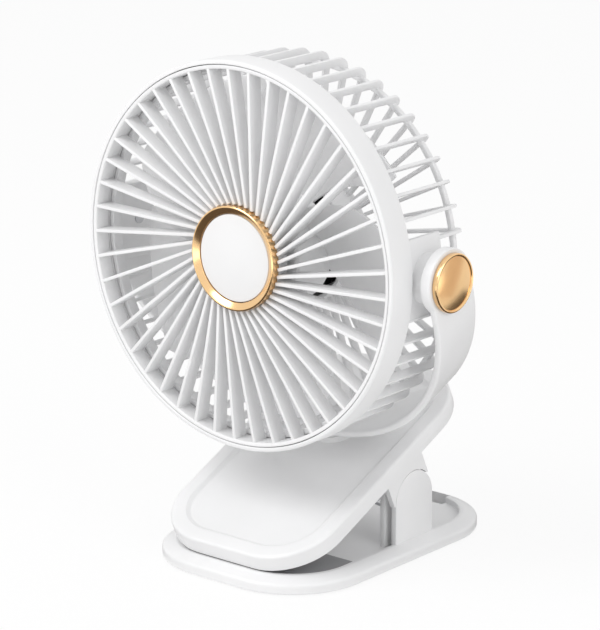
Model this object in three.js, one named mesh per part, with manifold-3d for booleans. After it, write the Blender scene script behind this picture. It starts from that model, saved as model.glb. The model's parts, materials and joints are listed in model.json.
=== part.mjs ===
// Clip fan: a caged fan head in a C-shaped yoke that turns on a spring clip.
// Millimetres. +X to the viewer's right, -Y towards the viewer (the side the air leaves), +Z up.
// The origin is on the standing surface, under the middle of the clip's base.

import * as THREE from 'three';
import { mergeVertices } from 'three/addons/utils/BufferGeometryUtils.js';
import Module from 'manifold-3d';

const wasm = await Module();
wasm.setup();

// ---------------------------------------------------------------- shared values
const GAP = 0.3;                  // between neighbouring pieces
const BORE_CLEARANCE = 0.3;       // radial, between a shaft and its hole

// ---------------------------------------------------------------- clip base
const BASE_WIDTH = 87.7;
const BASE_LENGTH = 127.1;
const BASE_CORNER_R = 31.1;
const BASE_LIFT = 0.6;            // the feet hold the shell this far up
const BASE_SIDE_HEIGHT = 4;
const BASE_SLOPE_RUN = 5.4;
const BASE_SLOPE_RISE = 2.1;
const BASE_FOOT_CHAMFER = 0.7;
const RIM_FLAT = 1.8;
const TRAY_DEPTH = 2.3;
const FLOOR_SKIN = 1.8;
const BASE_WALL = 3.2;
const COVER_THICKNESS = 1.7;
const COVER_SCREW_SIDE_INSET = 10.85;
const COVER_SCREW_X = BASE_WIDTH / 2 - COVER_SCREW_SIDE_INSET;
const COVER_SCREW_END_INSET = 34.55;
const COVER_SCREW_Y = BASE_LENGTH / 2 - COVER_SCREW_END_INSET;
const FOOT_PAD_SIDE_INSET = 16.85;
const FOOT_PAD_WIDTH = BASE_WIDTH - 2 * FOOT_PAD_SIDE_INSET;
const FOOT_PAD_END_INSET = 15.55;
const FOOT_PAD_LENGTH = BASE_LENGTH - 2 * FOOT_PAD_END_INSET;
const FOOT_PAD_CORNER_R = 14;
const FOOT_PAD_RECESS = 0.5;
const SLOT_WIDTH = 37;
const SLOT_REACH = 3.2;           // how far the hanging slot runs back through the rim
const SLOT_FRONT = 3.4;           // how far it opens the floor in front of the rim
const GRIP_PAD_THICKNESS = 0.8;
const GRIP_PAD_EDGE = 0.3;
const GRIP_PAD_MARGIN = 0.9;
const GRIP_PAD_LENGTH = 31.5;

// ---------------------------------------------------------------- clip hinge
const HINGE_Y = 9.8;
const HINGE_Z = 22.5;
const HINGE_PIN_R = 2;
const BRACKET_R = 11.3;
const BRACKET_WALL = 2.5;
const BRACKET_END_SKIN = 1.2;
const LUG_THICKNESS = 2.4;
const LUG_R = 7;
const SPRING_WIRE_R = 0.8;
const SPRING_COIL_R = 5.2;        // to the middle of the wire
const SPRING_TURNS = 3;
const SPRING_PITCH = 2.1;
const SPRING_X = 13.5;            // outer end of each coil is this far from the middle, plus its length
const SPRING_LEG = 27;

// ---------------------------------------------------------------- upper jaw
const JAW_WIDTH = 76.4;
const JAW_LENGTH = 117.6;
const JAW_CORNER_R = 24.3;
const JAW_FRONT = 67.3;           // from the hinge to the front edge, along the plate
const JAW_TOP = 21.05;            // from the hinge to the rim, square to the plate
const JAW_SIDE_HEIGHT = 6.9;
const JAW_WALL = 2.2;
const JAW_EDGE_R = 1.2;
const JAW_RIM_WIDTH = 6.3;
const PANEL_DEPTH = 1.2;
const PANEL_BEVEL = 1.6;
const PANEL_SKIN = 1.9;
const CHEEK_DROP = 9.5;
const UNDER_COVER_SINK = 0.4;
const UNDER_COVER_THICKNESS = 1.6;
const BELLY_WIDTH = 50;
const BELLY_START = 17;
const BELLY_END = 44;
const BELLY_WALL = 1.6;
const BELLY_CORNER_R = 3;
const BATTERY_THICKNESS = 4.6;
const BOARD_THICKNESS = 1.2;
const BOARD_MARGIN = 3;
const TIP_PAD_LENGTH = 20;
const TIP_PAD_WIDTH = 48;
const TIP_PAD_MARGIN = 1;
const JAW_SCREW_X = 28;
const JAW_SCREW_FRONT = 47;
const JAW_SCREW_REAR_X = 30;
const JAW_SCREW_REAR = 27;
const POST_R = 3.1;

// ---------------------------------------------------------------- screws
const SCREW_R = 1;
const SCREW_HEAD_R = 2.1;
const SCREW_HEAD_HEIGHT = 0.9;
const SCREW_GRIP = 2.2;

// ---------------------------------------------------------------- controls
const BUTTON_R = 5.4;
const BUTTON_PROUD = 0.8;
const BUTTON_Y = 33;
const BUTTON_FLANGE = 1;
const BUTTON_TRAVEL = 0.6;
const LENS_R = 1.1;
const LENS_X = 12;
const SOCKET_WIDTH = 9;
const SOCKET_HEIGHT = 3;
const SOCKET_DEPTH = 4.4;
const SOCKET_CORNER_R = 1.4;
const SOCKET_WALL = 0.5;

// ---------------------------------------------------------------- yoke
const YOKE_AXIS_Y = 9.05;         // turning axis behind the hinge, along the plate
const YOKE_WIDTH = 23.8;
const YOKE_THICKNESS = 2.8;
const YOKE_EDGE = 0.7;
const HEAD_SWING_CLEARANCE = 2.1; // between the turning head and the band
const YOKE_FOOT_HEIGHT = 4.5;     // rim of the jaw to the underside of the band
const TURN_R = 10.8;
const TURN_BOSS_HEIGHT = 2.6;
const TURN_SCREW_R = 2.4;
const TURN_SCREW_HEAD_R = 4.6;
const TURN_SCREW_HEAD_HEIGHT = 1.6;
const TURN_SCREW_BITE = 3.2;
const TURN_WASHER_R = 6.4;
const TURN_WASHER_THICKNESS = 0.8;
const CAP_R = 11;
const CAP_HEIGHT = 2.3;
const CAP_WALL = 1.1;
const CAP_EDGE = 0.7;
const PIVOT_SCREW_R = 2.4;
const PIVOT_SCREW_HEAD_R = 4.2;
const PIVOT_SCREW_HEAD_HEIGHT = 0.7;
const PIVOT_SCREW_BITE = 9;
const PIVOT_WASHER_R = 7;
const PIVOT_WASHER_THICKNESS = 0.6;

// ---------------------------------------------------------------- fan head, depths from its front plane
const IMPELLER_R = 65;
const FIN_WIDTH = 3.4;
const BLADE_TIP_CLEARANCE = 3.9;
const CAGE_R = IMPELLER_R + BLADE_TIP_CLEARANCE + FIN_WIDTH;
const BEZEL_OVERHANG = 1.7;
const HEAD_R = CAGE_R + BEZEL_OVERHANG;
const PIVOT_DEPTH = 23.4;
const BEZEL_DEPTH = 12;
const BEZEL_WALL = 1.7;
const BEZEL_LEDGE = 1.7;
const BEZEL_EDGE = 1.4;
const GRILLE_DEPTH = 7;
const GRILLE_RING_WALL = 1.5;
const RIB_COUNT = 45;
const RIB_THICKNESS = 1.25;
const RIB_SINK = 0.35;
const RIB_OFFSET = 7.9;           // each rib's line passes the middle at this distance
const RIB_FIRST_ANGLE = 11.3;
const GRILLE_HUB_R = 19.4;
const GRILLE_HUB_SKIN = 1.6;
const HUB_SEAT_DEPTH = 1.9;
const HUB_RING_R = 19.9;
const HUB_RING_PROUD = 2;
const HUB_RING_LIP = 0.6;
const HUB_RING_DISH = 1.4;        // the ring's face falls this far towards the badge
const BADGE_R = 16.6;
const BADGE_PROUD = 0.5;
const CAGE_DEPTH = 48.4;
const CAGE_CORNER_R = 6;
const CAGE_RING_WALL = 2;
const CAGE_RING_DEPTH = 4.6;
const FIN_COUNT = 48;
const FIN_THICKNESS = 1.25;
const FIN_FIRST_ANGLE = 3.1;
const BAR_DEPTH = 3.4;
const CAGE_INNER_CHAMFER = 2.5;
const HOOP_INSET = 0.3;
const HOOP_WIDTH = 2.2;
const HOOP_DEPTH = 2.2;
const HOOP_FROM_BACK = 2.5;
const SIDE_PANEL_HALF = 15.6;
const SIDE_PANEL_END = 32;
const SIDE_PANEL_WALL = 2.6;
const PIVOT_BOSS_R = 7.5;
const MOTOR_CUP_WALL = 1.8;
const MOTOR_CUP_DEPTH = 13;
const MOTOR_CUP_SKIN = 2.2;
const MOTOR_R = 19.6;
const MOTOR_LENGTH = 23;
const MOTOR_CUP_MARGIN = 3;
const MOTOR_CUP_PROUD = 0.8;
const MOTOR_SCREW_CIRCLE_R = 12;
const MOTOR_SCREW_COUNT = 3;

// ---------------------------------------------------------------- impeller
const IMPELLER_FRONT = 9.6;
const IMPELLER_HUB_WALL = 1.6;
const IMPELLER_HUB_LENGTH = 20;
const IMPELLER_HUB_EDGE = 1.5;
const IMPELLER_MOTOR_GAP = 1;
const BLADE_COUNT = 5;
const BLADE_THICKNESS = 1.6;
const BLADE_SPAN_ANGLE = 66;
const BLADE_FIRST_EDGE = 48;
const BLADE_RISE = 17;
const BLADE_CAMBER = 2.4;
const BLADE_SWEEP = 30;
const BLADE_START = 12.6;
const SHAFT_R = 1.5;
const SHAFT_BOSS_R = 4;
const SHAFT_BOSS_LENGTH = 6;
const SHAFT_BITE = 5;

// ---------------------------------------------------------------- materials
function plastic(colour, roughness) {
  return new THREE.MeshStandardMaterial({ color: colour, roughness, metalness: 0 });
}

function metal(colour, roughness) {
  return new THREE.MeshStandardMaterial({ color: colour, roughness, metalness: 1 });
}

const whitePlastic = plastic(0xf2f2f2, 0.4);
const badgePlastic = plastic(0xe9e9ea, 0.35);
const bladePlastic = plastic(0xe4e4e6, 0.4);
const gold = metal(0xd9a860, 0.25);
const greyRubber = plastic(0x85858a, 0.85);
const darkRubber = plastic(0x3a3a3c, 0.9);
const steel = metal(0xb8babd, 0.35);
const darkMetal = metal(0x3b3c40, 0.5);
const boardGreen = plastic(0x2c6b45, 0.6);
const batteryBlue = plastic(0x3e63a8, 0.5);
const lensPlastic = plastic(0xcfe3f5, 0.2);

// ---------------------------------------------------------------- solids
// A closed geometry becomes a solid for joining and cutting.
function solid(geometry) {
  const bare = new THREE.BufferGeometry();
  bare.setAttribute('position', geometry.getAttribute('position').clone());
  bare.setIndex(geometry.getIndex());
  const merged = mergeVertices(bare, 1e-4);
  const points = merged.getAttribute('position').array;
  const index = merged.getIndex().array;
  const kept = [];
  let volume = 0;
  for (let i = 0; i < index.length; i += 3) {
    const [a, b, c] = [index[i], index[i + 1], index[i + 2]];
    if (a === b || b === c || a === c) {
      continue;
    }
    kept.push(a, b, c);
    const A = new THREE.Vector3().fromArray(points, 3 * a);
    const B = new THREE.Vector3().fromArray(points, 3 * b);
    const C = new THREE.Vector3().fromArray(points, 3 * c);
    volume += A.dot(B.cross(C));
  }
  if (volume < 0) {
    kept.reverse();
  }
  return new wasm.Manifold(new wasm.Mesh({
    numProp: 3,
    vertProperties: Float32Array.from(points),
    triVerts: Uint32Array.from(kept),
  }));
}

function join(...parts) {
  return parts.reduce((sum, part) => sum.add(part));
}

function cut(body, ...tools) {
  return tools.reduce((rest, tool) => rest.subtract(tool), body);
}

// The finished solid goes back to a mesh in the scene graph.
function mesh(name, body, material) {
  const result = body.getMesh();
  const geometry = new THREE.BufferGeometry();
  geometry.setAttribute('position', new THREE.BufferAttribute(result.vertProperties, 3));
  geometry.setIndex(new THREE.BufferAttribute(result.triVerts, 1));
  geometry.computeVertexNormals();
  const item = new THREE.Mesh(geometry, material);
  item.name = name;
  return item;
}

function box(x0, x1, y0, y1, z0, z1) {
  const geometry = new THREE.BoxGeometry(x1 - x0, y1 - y0, z1 - z0);
  geometry.translate((x0 + x1) / 2, (y0 + y1) / 2, (z0 + z1) / 2);
  return solid(geometry);
}

// Round pieces along Z, X and Y.
function rod(radius, x, y, z0, z1, segments = 24) {
  const geometry = new THREE.CylinderGeometry(radius, radius, z1 - z0, segments);
  geometry.rotateX(Math.PI / 2);
  geometry.translate(x, y, (z0 + z1) / 2);
  return solid(geometry);
}

function rodX(radius, y, z, x0, x1, segments = 32) {
  const geometry = new THREE.CylinderGeometry(radius, radius, x1 - x0, segments);
  geometry.rotateZ(Math.PI / 2);
  geometry.translate((x0 + x1) / 2, y, z);
  return solid(geometry);
}

function rodY(radius, x, z, y0, y1, segments = 32) {
  const geometry = new THREE.CylinderGeometry(radius, radius, y1 - y0, segments);
  geometry.translate(x, (y0 + y1) / 2, z);
  return solid(geometry);
}

// A profile of [radius, y] points turned about the Y axis.
function turned(profile, segments = 60) {
  const points = profile.map(([r, y]) => new THREE.Vector2(r, y));
  if (profile[0][0] > 0) {
    points.push(points[0].clone());
  }
  return solid(new THREE.LatheGeometry(points, segments));
}

// A flat outline in the XY plane, raised along Z.
function raised(shape, z0, z1, curveSegments = 6) {
  const geometry = new THREE.ExtrudeGeometry(shape, {
    depth: z1 - z0,
    bevelEnabled: false,
    curveSegments,
  });
  geometry.translate(0, 0, z0);
  return solid(geometry);
}

// The same, with the outline in the YZ plane and the thickness along X.
function raisedX(shape, x0, x1, curveSegments = 6) {
  const geometry = new THREE.ExtrudeGeometry(shape, {
    depth: x1 - x0,
    bevelEnabled: false,
    curveSegments,
  });
  geometry.translate(0, 0, x0);
  const turn = new THREE.Matrix4().makeBasis(
    new THREE.Vector3(0, 1, 0),
    new THREE.Vector3(0, 0, 1),
    new THREE.Vector3(1, 0, 0),
  );
  geometry.applyMatrix4(turn);
  return solid(geometry);
}

function roundedOutline(width, length, radius) {
  const x = width / 2 - radius;
  const y = length / 2 - radius;
  const shape = new THREE.Shape();
  shape.absarc(x, y, radius, 0, Math.PI / 2);
  shape.absarc(-x, y, radius, Math.PI / 2, Math.PI);
  shape.absarc(-x, -y, radius, Math.PI, Math.PI * 1.5);
  shape.absarc(x, -y, radius, Math.PI * 1.5, Math.PI * 2);
  return shape;
}

// A rounded plate whose edge follows a list of [inset, height] steps.
function profiledPlate(width, length, radius, centreY, steps, curveSegments = 5) {
  const shape = roundedOutline(width, length, radius);
  const geometry = new THREE.ExtrudeGeometry(shape, {
    depth: steps.length - 1,
    steps: steps.length - 1,
    bevelEnabled: false,
    curveSegments,
  });
  const cornerX = width / 2 - radius;
  const cornerY = length / 2 - radius;
  const position = geometry.getAttribute('position');
  for (let i = 0; i < position.count; i += 1) {
    const x = position.getX(i);
    const y = position.getY(i);
    const [inset, height] = steps[Math.round(position.getZ(i))];
    const fromX = x - Math.sign(x) * cornerX;
    const fromY = y - Math.sign(y) * cornerY;
    const scale = (radius - inset) / Math.hypot(fromX, fromY);
    position.setXYZ(
      i,
      Math.sign(x) * cornerX + fromX * scale,
      Math.sign(y) * cornerY + fromY * scale + centreY,
      height,
    );
  }
  return solid(geometry);
}

// A small screw along Z, its head in a recess of the plate whose lower face is given.
function screwTip(plateBottom) {
  return plateBottom + SCREW_HEAD_HEIGHT + SCREW_GRIP;
}

function smallScrew(name, x, y, plateBottom) {
  const headTop = plateBottom + SCREW_HEAD_HEIGHT;
  const body = join(
    rod(SCREW_HEAD_R, x, y, plateBottom + GAP, headTop, 16),
    rod(SCREW_R, x, y, headTop - GAP, screwTip(plateBottom), 8),
  );
  return mesh(name, body, steel);
}

// The stepped hole that such a screw needs in its plate and in what lies above.
function screwHole(x, y, plateBottom) {
  return join(
    rod(SCREW_HEAD_R + GAP, x, y, plateBottom - 1, plateBottom + SCREW_HEAD_HEIGHT + GAP, 16),
    rod(SCREW_R + BORE_CLEARANCE, x, y, plateBottom, screwTip(plateBottom) + GAP, 8),
  );
}

const sides = [['right', 1], ['left', -1]];

// ================================================================ clip base
const coverBottom = BASE_LIFT;
const coverTop = coverBottom + COVER_THICKNESS;
const baseEdgeTop = BASE_LIFT + BASE_SIDE_HEIGHT;
const baseTop = baseEdgeTop + BASE_SLOPE_RISE;
const floorTop = baseTop - TRAY_DEPTH;
const floorBottom = Math.max(coverTop + GAP, floorTop - FLOOR_SKIN);
const trayInset = BASE_SLOPE_RUN + RIM_FLAT;
const trayWidth = BASE_WIDTH - 2 * trayInset;
const trayLength = BASE_LENGTH - 2 * trayInset;
const trayCornerR = BASE_CORNER_R - trayInset;
const gripPadTop = floorTop + GAP + GRIP_PAD_THICKNESS;
const bracketOuter = JAW_WIDTH / 2;
const lugSlot = LUG_THICKNESS + 2 * GAP;
const bracketInner = bracketOuter - 2 * BRACKET_WALL - lugSlot;
const lugOuter = bracketOuter - BRACKET_WALL - GAP;
const coverScrews = [];
for (const [, side] of sides) {
  coverScrews.push([side * COVER_SCREW_X, -COVER_SCREW_Y], [side * COVER_SCREW_X, COVER_SCREW_Y]);
}

function bracketOutline() {
  const shape = new THREE.Shape();
  shape.moveTo(HINGE_Y - BRACKET_R, floorBottom);
  shape.lineTo(HINGE_Y + BRACKET_R, floorBottom);
  shape.absarc(HINGE_Y, HINGE_Z, BRACKET_R, 0, Math.PI);
  shape.closePath();
  return shape;
}

function basePlate(inset, steps) {
  return profiledPlate(
    BASE_WIDTH - 2 * inset,
    BASE_LENGTH - 2 * inset,
    BASE_CORNER_R - inset,
    0,
    steps,
  );
}

function hangingSlot(bottom, top) {
  const rear = trayLength / 2 + SLOT_REACH;
  const front = trayLength / 2 - SLOT_FRONT;
  return box(-SLOT_WIDTH / 2, SLOT_WIDTH / 2, front, rear, bottom, top);
}

function makeLowerShell() {
  let shell = basePlate(0, [
    [BASE_FOOT_CHAMFER, BASE_LIFT],
    [0, BASE_LIFT + BASE_FOOT_CHAMFER],
    [0, baseEdgeTop],
    [BASE_SLOPE_RUN, baseTop],
  ]);
  const tray = profiledPlate(trayWidth, trayLength, trayCornerR, 0, [[0, floorTop], [0, baseTop + 1]]);
  const under = basePlate(BASE_WALL, [[0, 0], [0, floorBottom]]);
  shell = cut(shell, tray, under);
  for (const [, side] of sides) {
    const outer = side * bracketOuter;
    const outerBack = side * (bracketOuter - BRACKET_WALL);
    const inner = side * bracketInner;
    const innerFront = side * (bracketInner + BRACKET_WALL);
    shell = join(
      shell,
      raisedX(bracketOutline(), Math.min(outer, outerBack), Math.max(outer, outerBack), 8),
      raisedX(bracketOutline(), Math.min(inner, innerFront), Math.max(inner, innerFront), 8),
    );
  }
  const pinReach = bracketOuter - BRACKET_END_SKIN;
  shell = cut(
    shell,
    rodX(HINGE_PIN_R + BORE_CLEARANCE, HINGE_Y, HINGE_Z, -pinReach, pinReach, 24),
    hangingSlot(0, baseTop + 1),
  );
  for (const [x, y] of coverScrews) {
    shell = cut(shell, screwHole(x, y, coverBottom));
  }
  return mesh('lower_shell', shell, whitePlastic);
}

function makeBottomCover() {
  let cover = basePlate(BASE_WALL + GAP, [[0, coverBottom], [0, coverTop]]);
  const slot = box(
    -SLOT_WIDTH / 2,
    SLOT_WIDTH / 2,
    trayLength / 2 - SLOT_FRONT,
    BASE_LENGTH / 2,
    0,
    coverTop + 1,
  );
  cover = cut(cover, slot);
  for (const [x, y] of coverScrews) {
    cover = cut(cover, screwHole(x, y, coverBottom));
  }
  return mesh('bottom_cover', cut(cover, footPadBlock(GAP, FOOT_PAD_RECESS)), whitePlastic);
}

function footPadBlock(grow, recess) {
  const width = FOOT_PAD_WIDTH + 2 * grow;
  const length = FOOT_PAD_LENGTH + 2 * grow;
  const steps = [[0, 0], [0, coverBottom + recess]];
  return profiledPlate(width, length, FOOT_PAD_CORNER_R + grow, 0, steps);
}

function makeGripPad() {
  const inset = GRIP_PAD_MARGIN;
  const pad = profiledPlate(trayWidth - 2 * inset, trayLength - 2 * inset, trayCornerR - inset, 0, [
    [0, floorTop + GAP],
    [0, gripPadTop - GRIP_PAD_EDGE],
    [GRIP_PAD_EDGE, gripPadTop],
  ]);
  const padRear = -trayLength / 2 + inset + GRIP_PAD_LENGTH;
  const keep = box(-BASE_WIDTH, BASE_WIDTH, -BASE_LENGTH, padRear, 0, baseTop + 5);
  return mesh('grip_pad_lower', pad.intersect(keep), greyRubber);
}

// The wire of one torsion spring: a leg under the jaw, the coil round the pin, a leg on the floor.
class SpringWire extends THREE.Curve {
  constructor(points) {
    super();
    this.points = points;
    this.lengths = [0];
    for (let i = 1; i < points.length; i += 1) {
      this.lengths.push(this.lengths[i - 1] + points[i].distanceTo(points[i - 1]));
    }
  }

  getPoint(t, target = new THREE.Vector3()) {
    const wanted = t * this.lengths[this.lengths.length - 1];
    let i = 1;
    while (i < this.points.length - 1 && this.lengths[i] < wanted) {
      i += 1;
    }
    const span = this.lengths[i] - this.lengths[i - 1];
    const f = (wanted - this.lengths[i - 1]) / span;
    return target.lerpVectors(this.points[i - 1], this.points[i], f);
  }
}

function makeSpring(name, side, tilt) {
  const floorDrop = HINGE_Z - floorTop - SPRING_WIRE_R - GAP;
  const legEndY = Math.sqrt(Math.max(SPRING_LEG ** 2 + SPRING_COIL_R ** 2 - floorDrop ** 2, 1));
  const reach = Math.hypot(legEndY, floorDrop);
  const lowAngle = Math.atan2(-floorDrop, legEndY) - Math.acos(SPRING_COIL_R / reach);
  const highAngle = Math.PI / 2 + tilt;
  const sweep = 2 * Math.PI + lowAngle - highAngle + 2 * Math.PI * SPRING_TURNS;
  const coilLength = SPRING_PITCH * sweep / (2 * Math.PI);
  const coilSteps = 16 * (SPRING_TURNS + 1);
  const points = [];
  const place = (x, angle) => new THREE.Vector3(
    side * x,
    HINGE_Y + SPRING_COIL_R * Math.cos(angle),
    HINGE_Z + SPRING_COIL_R * Math.sin(angle),
  );
  const top = place(SPRING_X, highAngle);
  const along = new THREE.Vector3(0, Math.cos(tilt), Math.sin(tilt));
  points.push(top.clone().addScaledVector(along, SPRING_LEG));
  for (let k = 0; k <= coilSteps; k += 1) {
    const f = k / coilSteps;
    points.push(place(SPRING_X + coilLength * f, highAngle + sweep * f));
  }
  points.push(new THREE.Vector3(
    side * (SPRING_X + coilLength),
    HINGE_Y + legEndY,
    HINGE_Z - floorDrop,
  ));
  const section = new THREE.Shape();
  section.absarc(0, 0, SPRING_WIRE_R, 0, Math.PI * 2);
  const geometry = new THREE.ExtrudeGeometry(section, {
    steps: 16 * SPRING_TURNS,
    extrudePath: new SpringWire(points),
    curveSegments: 3,
    bevelEnabled: false,
  });
  return mesh(name, solid(geometry), steel);
}

// ================================================================ upper jaw, measured from the hinge
const jawBottom = JAW_TOP - JAW_SIDE_HEIGHT;
const jawCentreY = JAW_LENGTH / 2 - JAW_FRONT;
const jawRear = JAW_LENGTH - JAW_FRONT;
const panelFloor = JAW_TOP - PANEL_DEPTH;
const panelCeiling = panelFloor - PANEL_SKIN;
const underBottom = jawBottom + UNDER_COVER_SINK;
const underTop = underBottom + UNDER_COVER_THICKNESS;
const bellyBottom = SPRING_COIL_R + SPRING_WIRE_R + GAP;
const turnBossTop = panelFloor + TURN_BOSS_HEIGHT;
const jawScrews = [];
for (const [, side] of sides) {
  jawScrews.push([side * JAW_SCREW_X, -JAW_SCREW_FRONT], [side * JAW_SCREW_REAR_X, JAW_SCREW_REAR]);
}

// Shut, the front edge of the plate comes down to the rim of the base.
const tipDrop = HINGE_Z - baseTop - GAP;
const closedTilt = Math.asin(tipDrop / Math.hypot(JAW_FRONT, jawBottom)) + Math.atan2(jawBottom, JAW_FRONT);

function jawPlate(inset, steps, curveSegments = 5) {
  return profiledPlate(
    JAW_WIDTH - 2 * inset,
    JAW_LENGTH - 2 * inset,
    JAW_CORNER_R - inset,
    jawCentreY,
    steps,
    curveSegments,
  );
}

// A cheek hangs from the side of the plate and ends in an arc round the bracket's top.
function cheekOutline() {
  const reach = BRACKET_R;
  const arcR = BRACKET_R + 2 * GAP;
  const low = jawBottom - CHEEK_DROP;
  const start = Math.asin(Math.min(low / arcR, 0.9));
  const shape = new THREE.Shape();
  shape.moveTo(-reach, jawBottom + 1);
  shape.lineTo(-reach, low);
  shape.lineTo(-arcR * Math.cos(start), low);
  shape.absarc(0, 0, arcR, Math.PI - start, start, true);
  shape.lineTo(reach, low);
  shape.lineTo(reach, jawBottom + 1);
  shape.closePath();
  return shape;
}

function makeUpperShell() {
  let shell = jawPlate(0, [
    [0, jawBottom],
    [0, JAW_TOP - JAW_EDGE_R],
    [JAW_EDGE_R * 0.3, JAW_TOP - JAW_EDGE_R * 0.3],
    [JAW_EDGE_R, JAW_TOP],
  ], 6);
  const panel = jawPlate(JAW_RIM_WIDTH, [
    [PANEL_BEVEL, panelFloor],
    [0, JAW_TOP],
    [0, JAW_TOP + 1],
  ], 6);
  const hollow = jawPlate(JAW_WALL, [[0, jawBottom - 1], [0, panelCeiling]]);
  shell = cut(shell, panel, hollow);
  shell = join(shell, rod(TURN_R, 0, YOKE_AXIS_Y, panelFloor - 0.5, turnBossTop, 32));
  for (const [, side] of sides) {
    const outer = side * JAW_WIDTH / 2;
    const inner = side * (JAW_WIDTH / 2 - JAW_WALL);
    shell = join(shell, raisedX(cheekOutline(), Math.min(outer, inner), Math.max(outer, inner), 8));
  }
  for (const [x, y] of jawScrews) {
    const post = rod(POST_R, x, y, underTop + GAP, panelCeiling + 0.5, 16);
    shell = cut(join(shell, post), screwHole(x, y, underBottom));
  }
  shell = cut(
    shell,
    rod(TURN_SCREW_R + BORE_CLEARANCE, 0, YOKE_AXIS_Y, 0, turnBossTop + 1, 24),
    rod(BUTTON_R + BORE_CLEARANCE, 0, BUTTON_Y, 0, JAW_TOP + 1, 24),
    rod(LENS_R + BORE_CLEARANCE, LENS_X, BUTTON_Y, 0, JAW_TOP + 1, 16),
    socketBlock(GAP, SOCKET_DEPTH + GAP, 1),
  );
  return mesh('upper_shell', shell, whitePlastic);
}

// The charging socket lies in the rear edge, just above the under cover.
function socketBlock(grow, depth, past) {
  const centre = underTop + GAP + SOCKET_HEIGHT / 2;
  const radius = Math.min(SOCKET_CORNER_R + grow, SOCKET_HEIGHT / 2 + grow - 0.01);
  const shape = roundedOutline(SOCKET_WIDTH + 2 * grow, SOCKET_HEIGHT + 2 * grow, radius);
  const geometry = new THREE.ExtrudeGeometry(shape, {
    depth: depth + past,
    bevelEnabled: false,
    curveSegments: 5,
  });
  geometry.rotateX(Math.PI / 2);
  geometry.translate(0, jawRear + past, centre);
  return solid(geometry);
}

function makeSocket() {
  const body = socketBlock(0, SOCKET_DEPTH, -GAP);
  const centre = underTop + GAP + SOCKET_HEIGHT / 2;
  const half = SOCKET_HEIGHT / 2 - SOCKET_WALL;
  const tongue = 0.35;
  const mouth = box(
    -SOCKET_WIDTH / 2 + 2 * SOCKET_WALL,
    SOCKET_WIDTH / 2 - 2 * SOCKET_WALL,
    jawRear - SOCKET_DEPTH + SOCKET_WALL * 2,
    jawRear + 1,
    centre - half,
    centre + half,
  );
  const blade = box(
    -SOCKET_WIDTH / 2 + 4 * SOCKET_WALL,
    SOCKET_WIDTH / 2 - 4 * SOCKET_WALL,
    jawRear - SOCKET_DEPTH + SOCKET_WALL,
    jawRear - 2 * SOCKET_WALL - GAP,
    centre - tongue,
    centre + tongue,
  );
  return mesh('charging_socket', join(cut(body, mouth), blade), steel);
}

function lugOutline() {
  const foot = LUG_R + 3;
  const shape = new THREE.Shape();
  shape.moveTo(-foot, underBottom + 0.5);
  shape.lineTo(-LUG_R, 0);
  shape.absarc(0, 0, LUG_R, Math.PI, Math.PI * 2);
  shape.lineTo(foot, underBottom + 0.5);
  shape.closePath();
  return shape;
}

function bellyBlock(inset, bottom, top) {
  const length = BELLY_END - BELLY_START - 2 * inset;
  const centre = (BELLY_START + BELLY_END) / 2;
  const radius = Math.max(BELLY_CORNER_R - inset, 0.5);
  return profiledPlate(BELLY_WIDTH - 2 * inset, length, radius, centre, [[0, bottom], [0, top]], 5);
}

function makeUnderCover() {
  let cover = jawPlate(JAW_WALL + GAP, [[0, underBottom], [0, underTop]]);
  cover = join(cover, bellyBlock(0, bellyBottom, underTop));
  cover = cut(
    cover,
    bellyBlock(BELLY_WALL, bellyBottom + BELLY_WALL, underTop + 1),
    rod(TURN_WASHER_R + 2 * GAP, 0, YOKE_AXIS_Y, underBottom - 1, underTop + 1, 32),
  );
  for (const [, side] of sides) {
    const outer = side * lugOuter;
    const inner = side * (lugOuter - LUG_THICKNESS);
    cover = join(cover, raisedX(lugOutline(), Math.min(outer, inner), Math.max(outer, inner)));
  }
  cover = cut(cover, rodX(HINGE_PIN_R + BORE_CLEARANCE, 0, 0, -lugOuter - 1, lugOuter + 1, 24));
  for (const [x, y] of jawScrews) {
    cover = cut(cover, screwHole(x, y, underBottom));
  }
  return mesh('under_cover', cover, whitePlastic);
}

function makeTipPad() {
  const inset = JAW_WALL + GAP + TIP_PAD_MARGIN;
  const front = JAW_FRONT - inset;
  const top = underBottom - GAP;
  const meetsPad = gripPadTop + GAP - HINGE_Z + front * Math.sin(closedTilt);
  const bottom = meetsPad / Math.cos(closedTilt);
  const pad = jawPlate(inset, [[0, bottom], [0, top]]);
  const half = TIP_PAD_WIDTH / 2;
  const keep = box(-half, half, -front - 1, -front + TIP_PAD_LENGTH, bottom - 1, top + 1);
  return mesh('grip_pad_upper', pad.intersect(keep), greyRubber);
}

const batteryBottom = bellyBottom + BELLY_WALL + GAP;
const boardBottom = batteryBottom + BATTERY_THICKNESS + GAP;
const boardTop = boardBottom + BOARD_THICKNESS;

function makeBattery() {
  const body = bellyBlock(BELLY_WALL + GAP, batteryBottom, batteryBottom + BATTERY_THICKNESS);
  return mesh('battery', body, batteryBlue);
}

function makeBoard() {
  const inset = BELLY_WALL + BOARD_MARGIN;
  return mesh('circuit_board', bellyBlock(inset, boardBottom, boardTop), boardGreen);
}

function makeButton() {
  const flangeTop = panelCeiling - GAP;
  const flangeBottom = Math.max(boardTop + BUTTON_TRAVEL + GAP, flangeTop - BUTTON_FLANGE);
  const cap = rod(BUTTON_R, 0, BUTTON_Y, flangeTop - 0.2, panelFloor + BUTTON_PROUD - 0.3, 24);
  const crown = rod(BUTTON_R - 0.5, 0, BUTTON_Y, flangeTop, panelFloor + BUTTON_PROUD, 24);
  const flange = rod(BUTTON_R + 1.2, 0, BUTTON_Y, flangeBottom, flangeTop, 24);
  return mesh('power_button', join(cap, crown, flange), badgePlastic);
}

function makeLens() {
  return mesh('indicator_lens', rod(LENS_R, LENS_X, BUTTON_Y, boardTop + GAP, panelFloor + 0.15, 16), lensPlastic);
}

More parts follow.
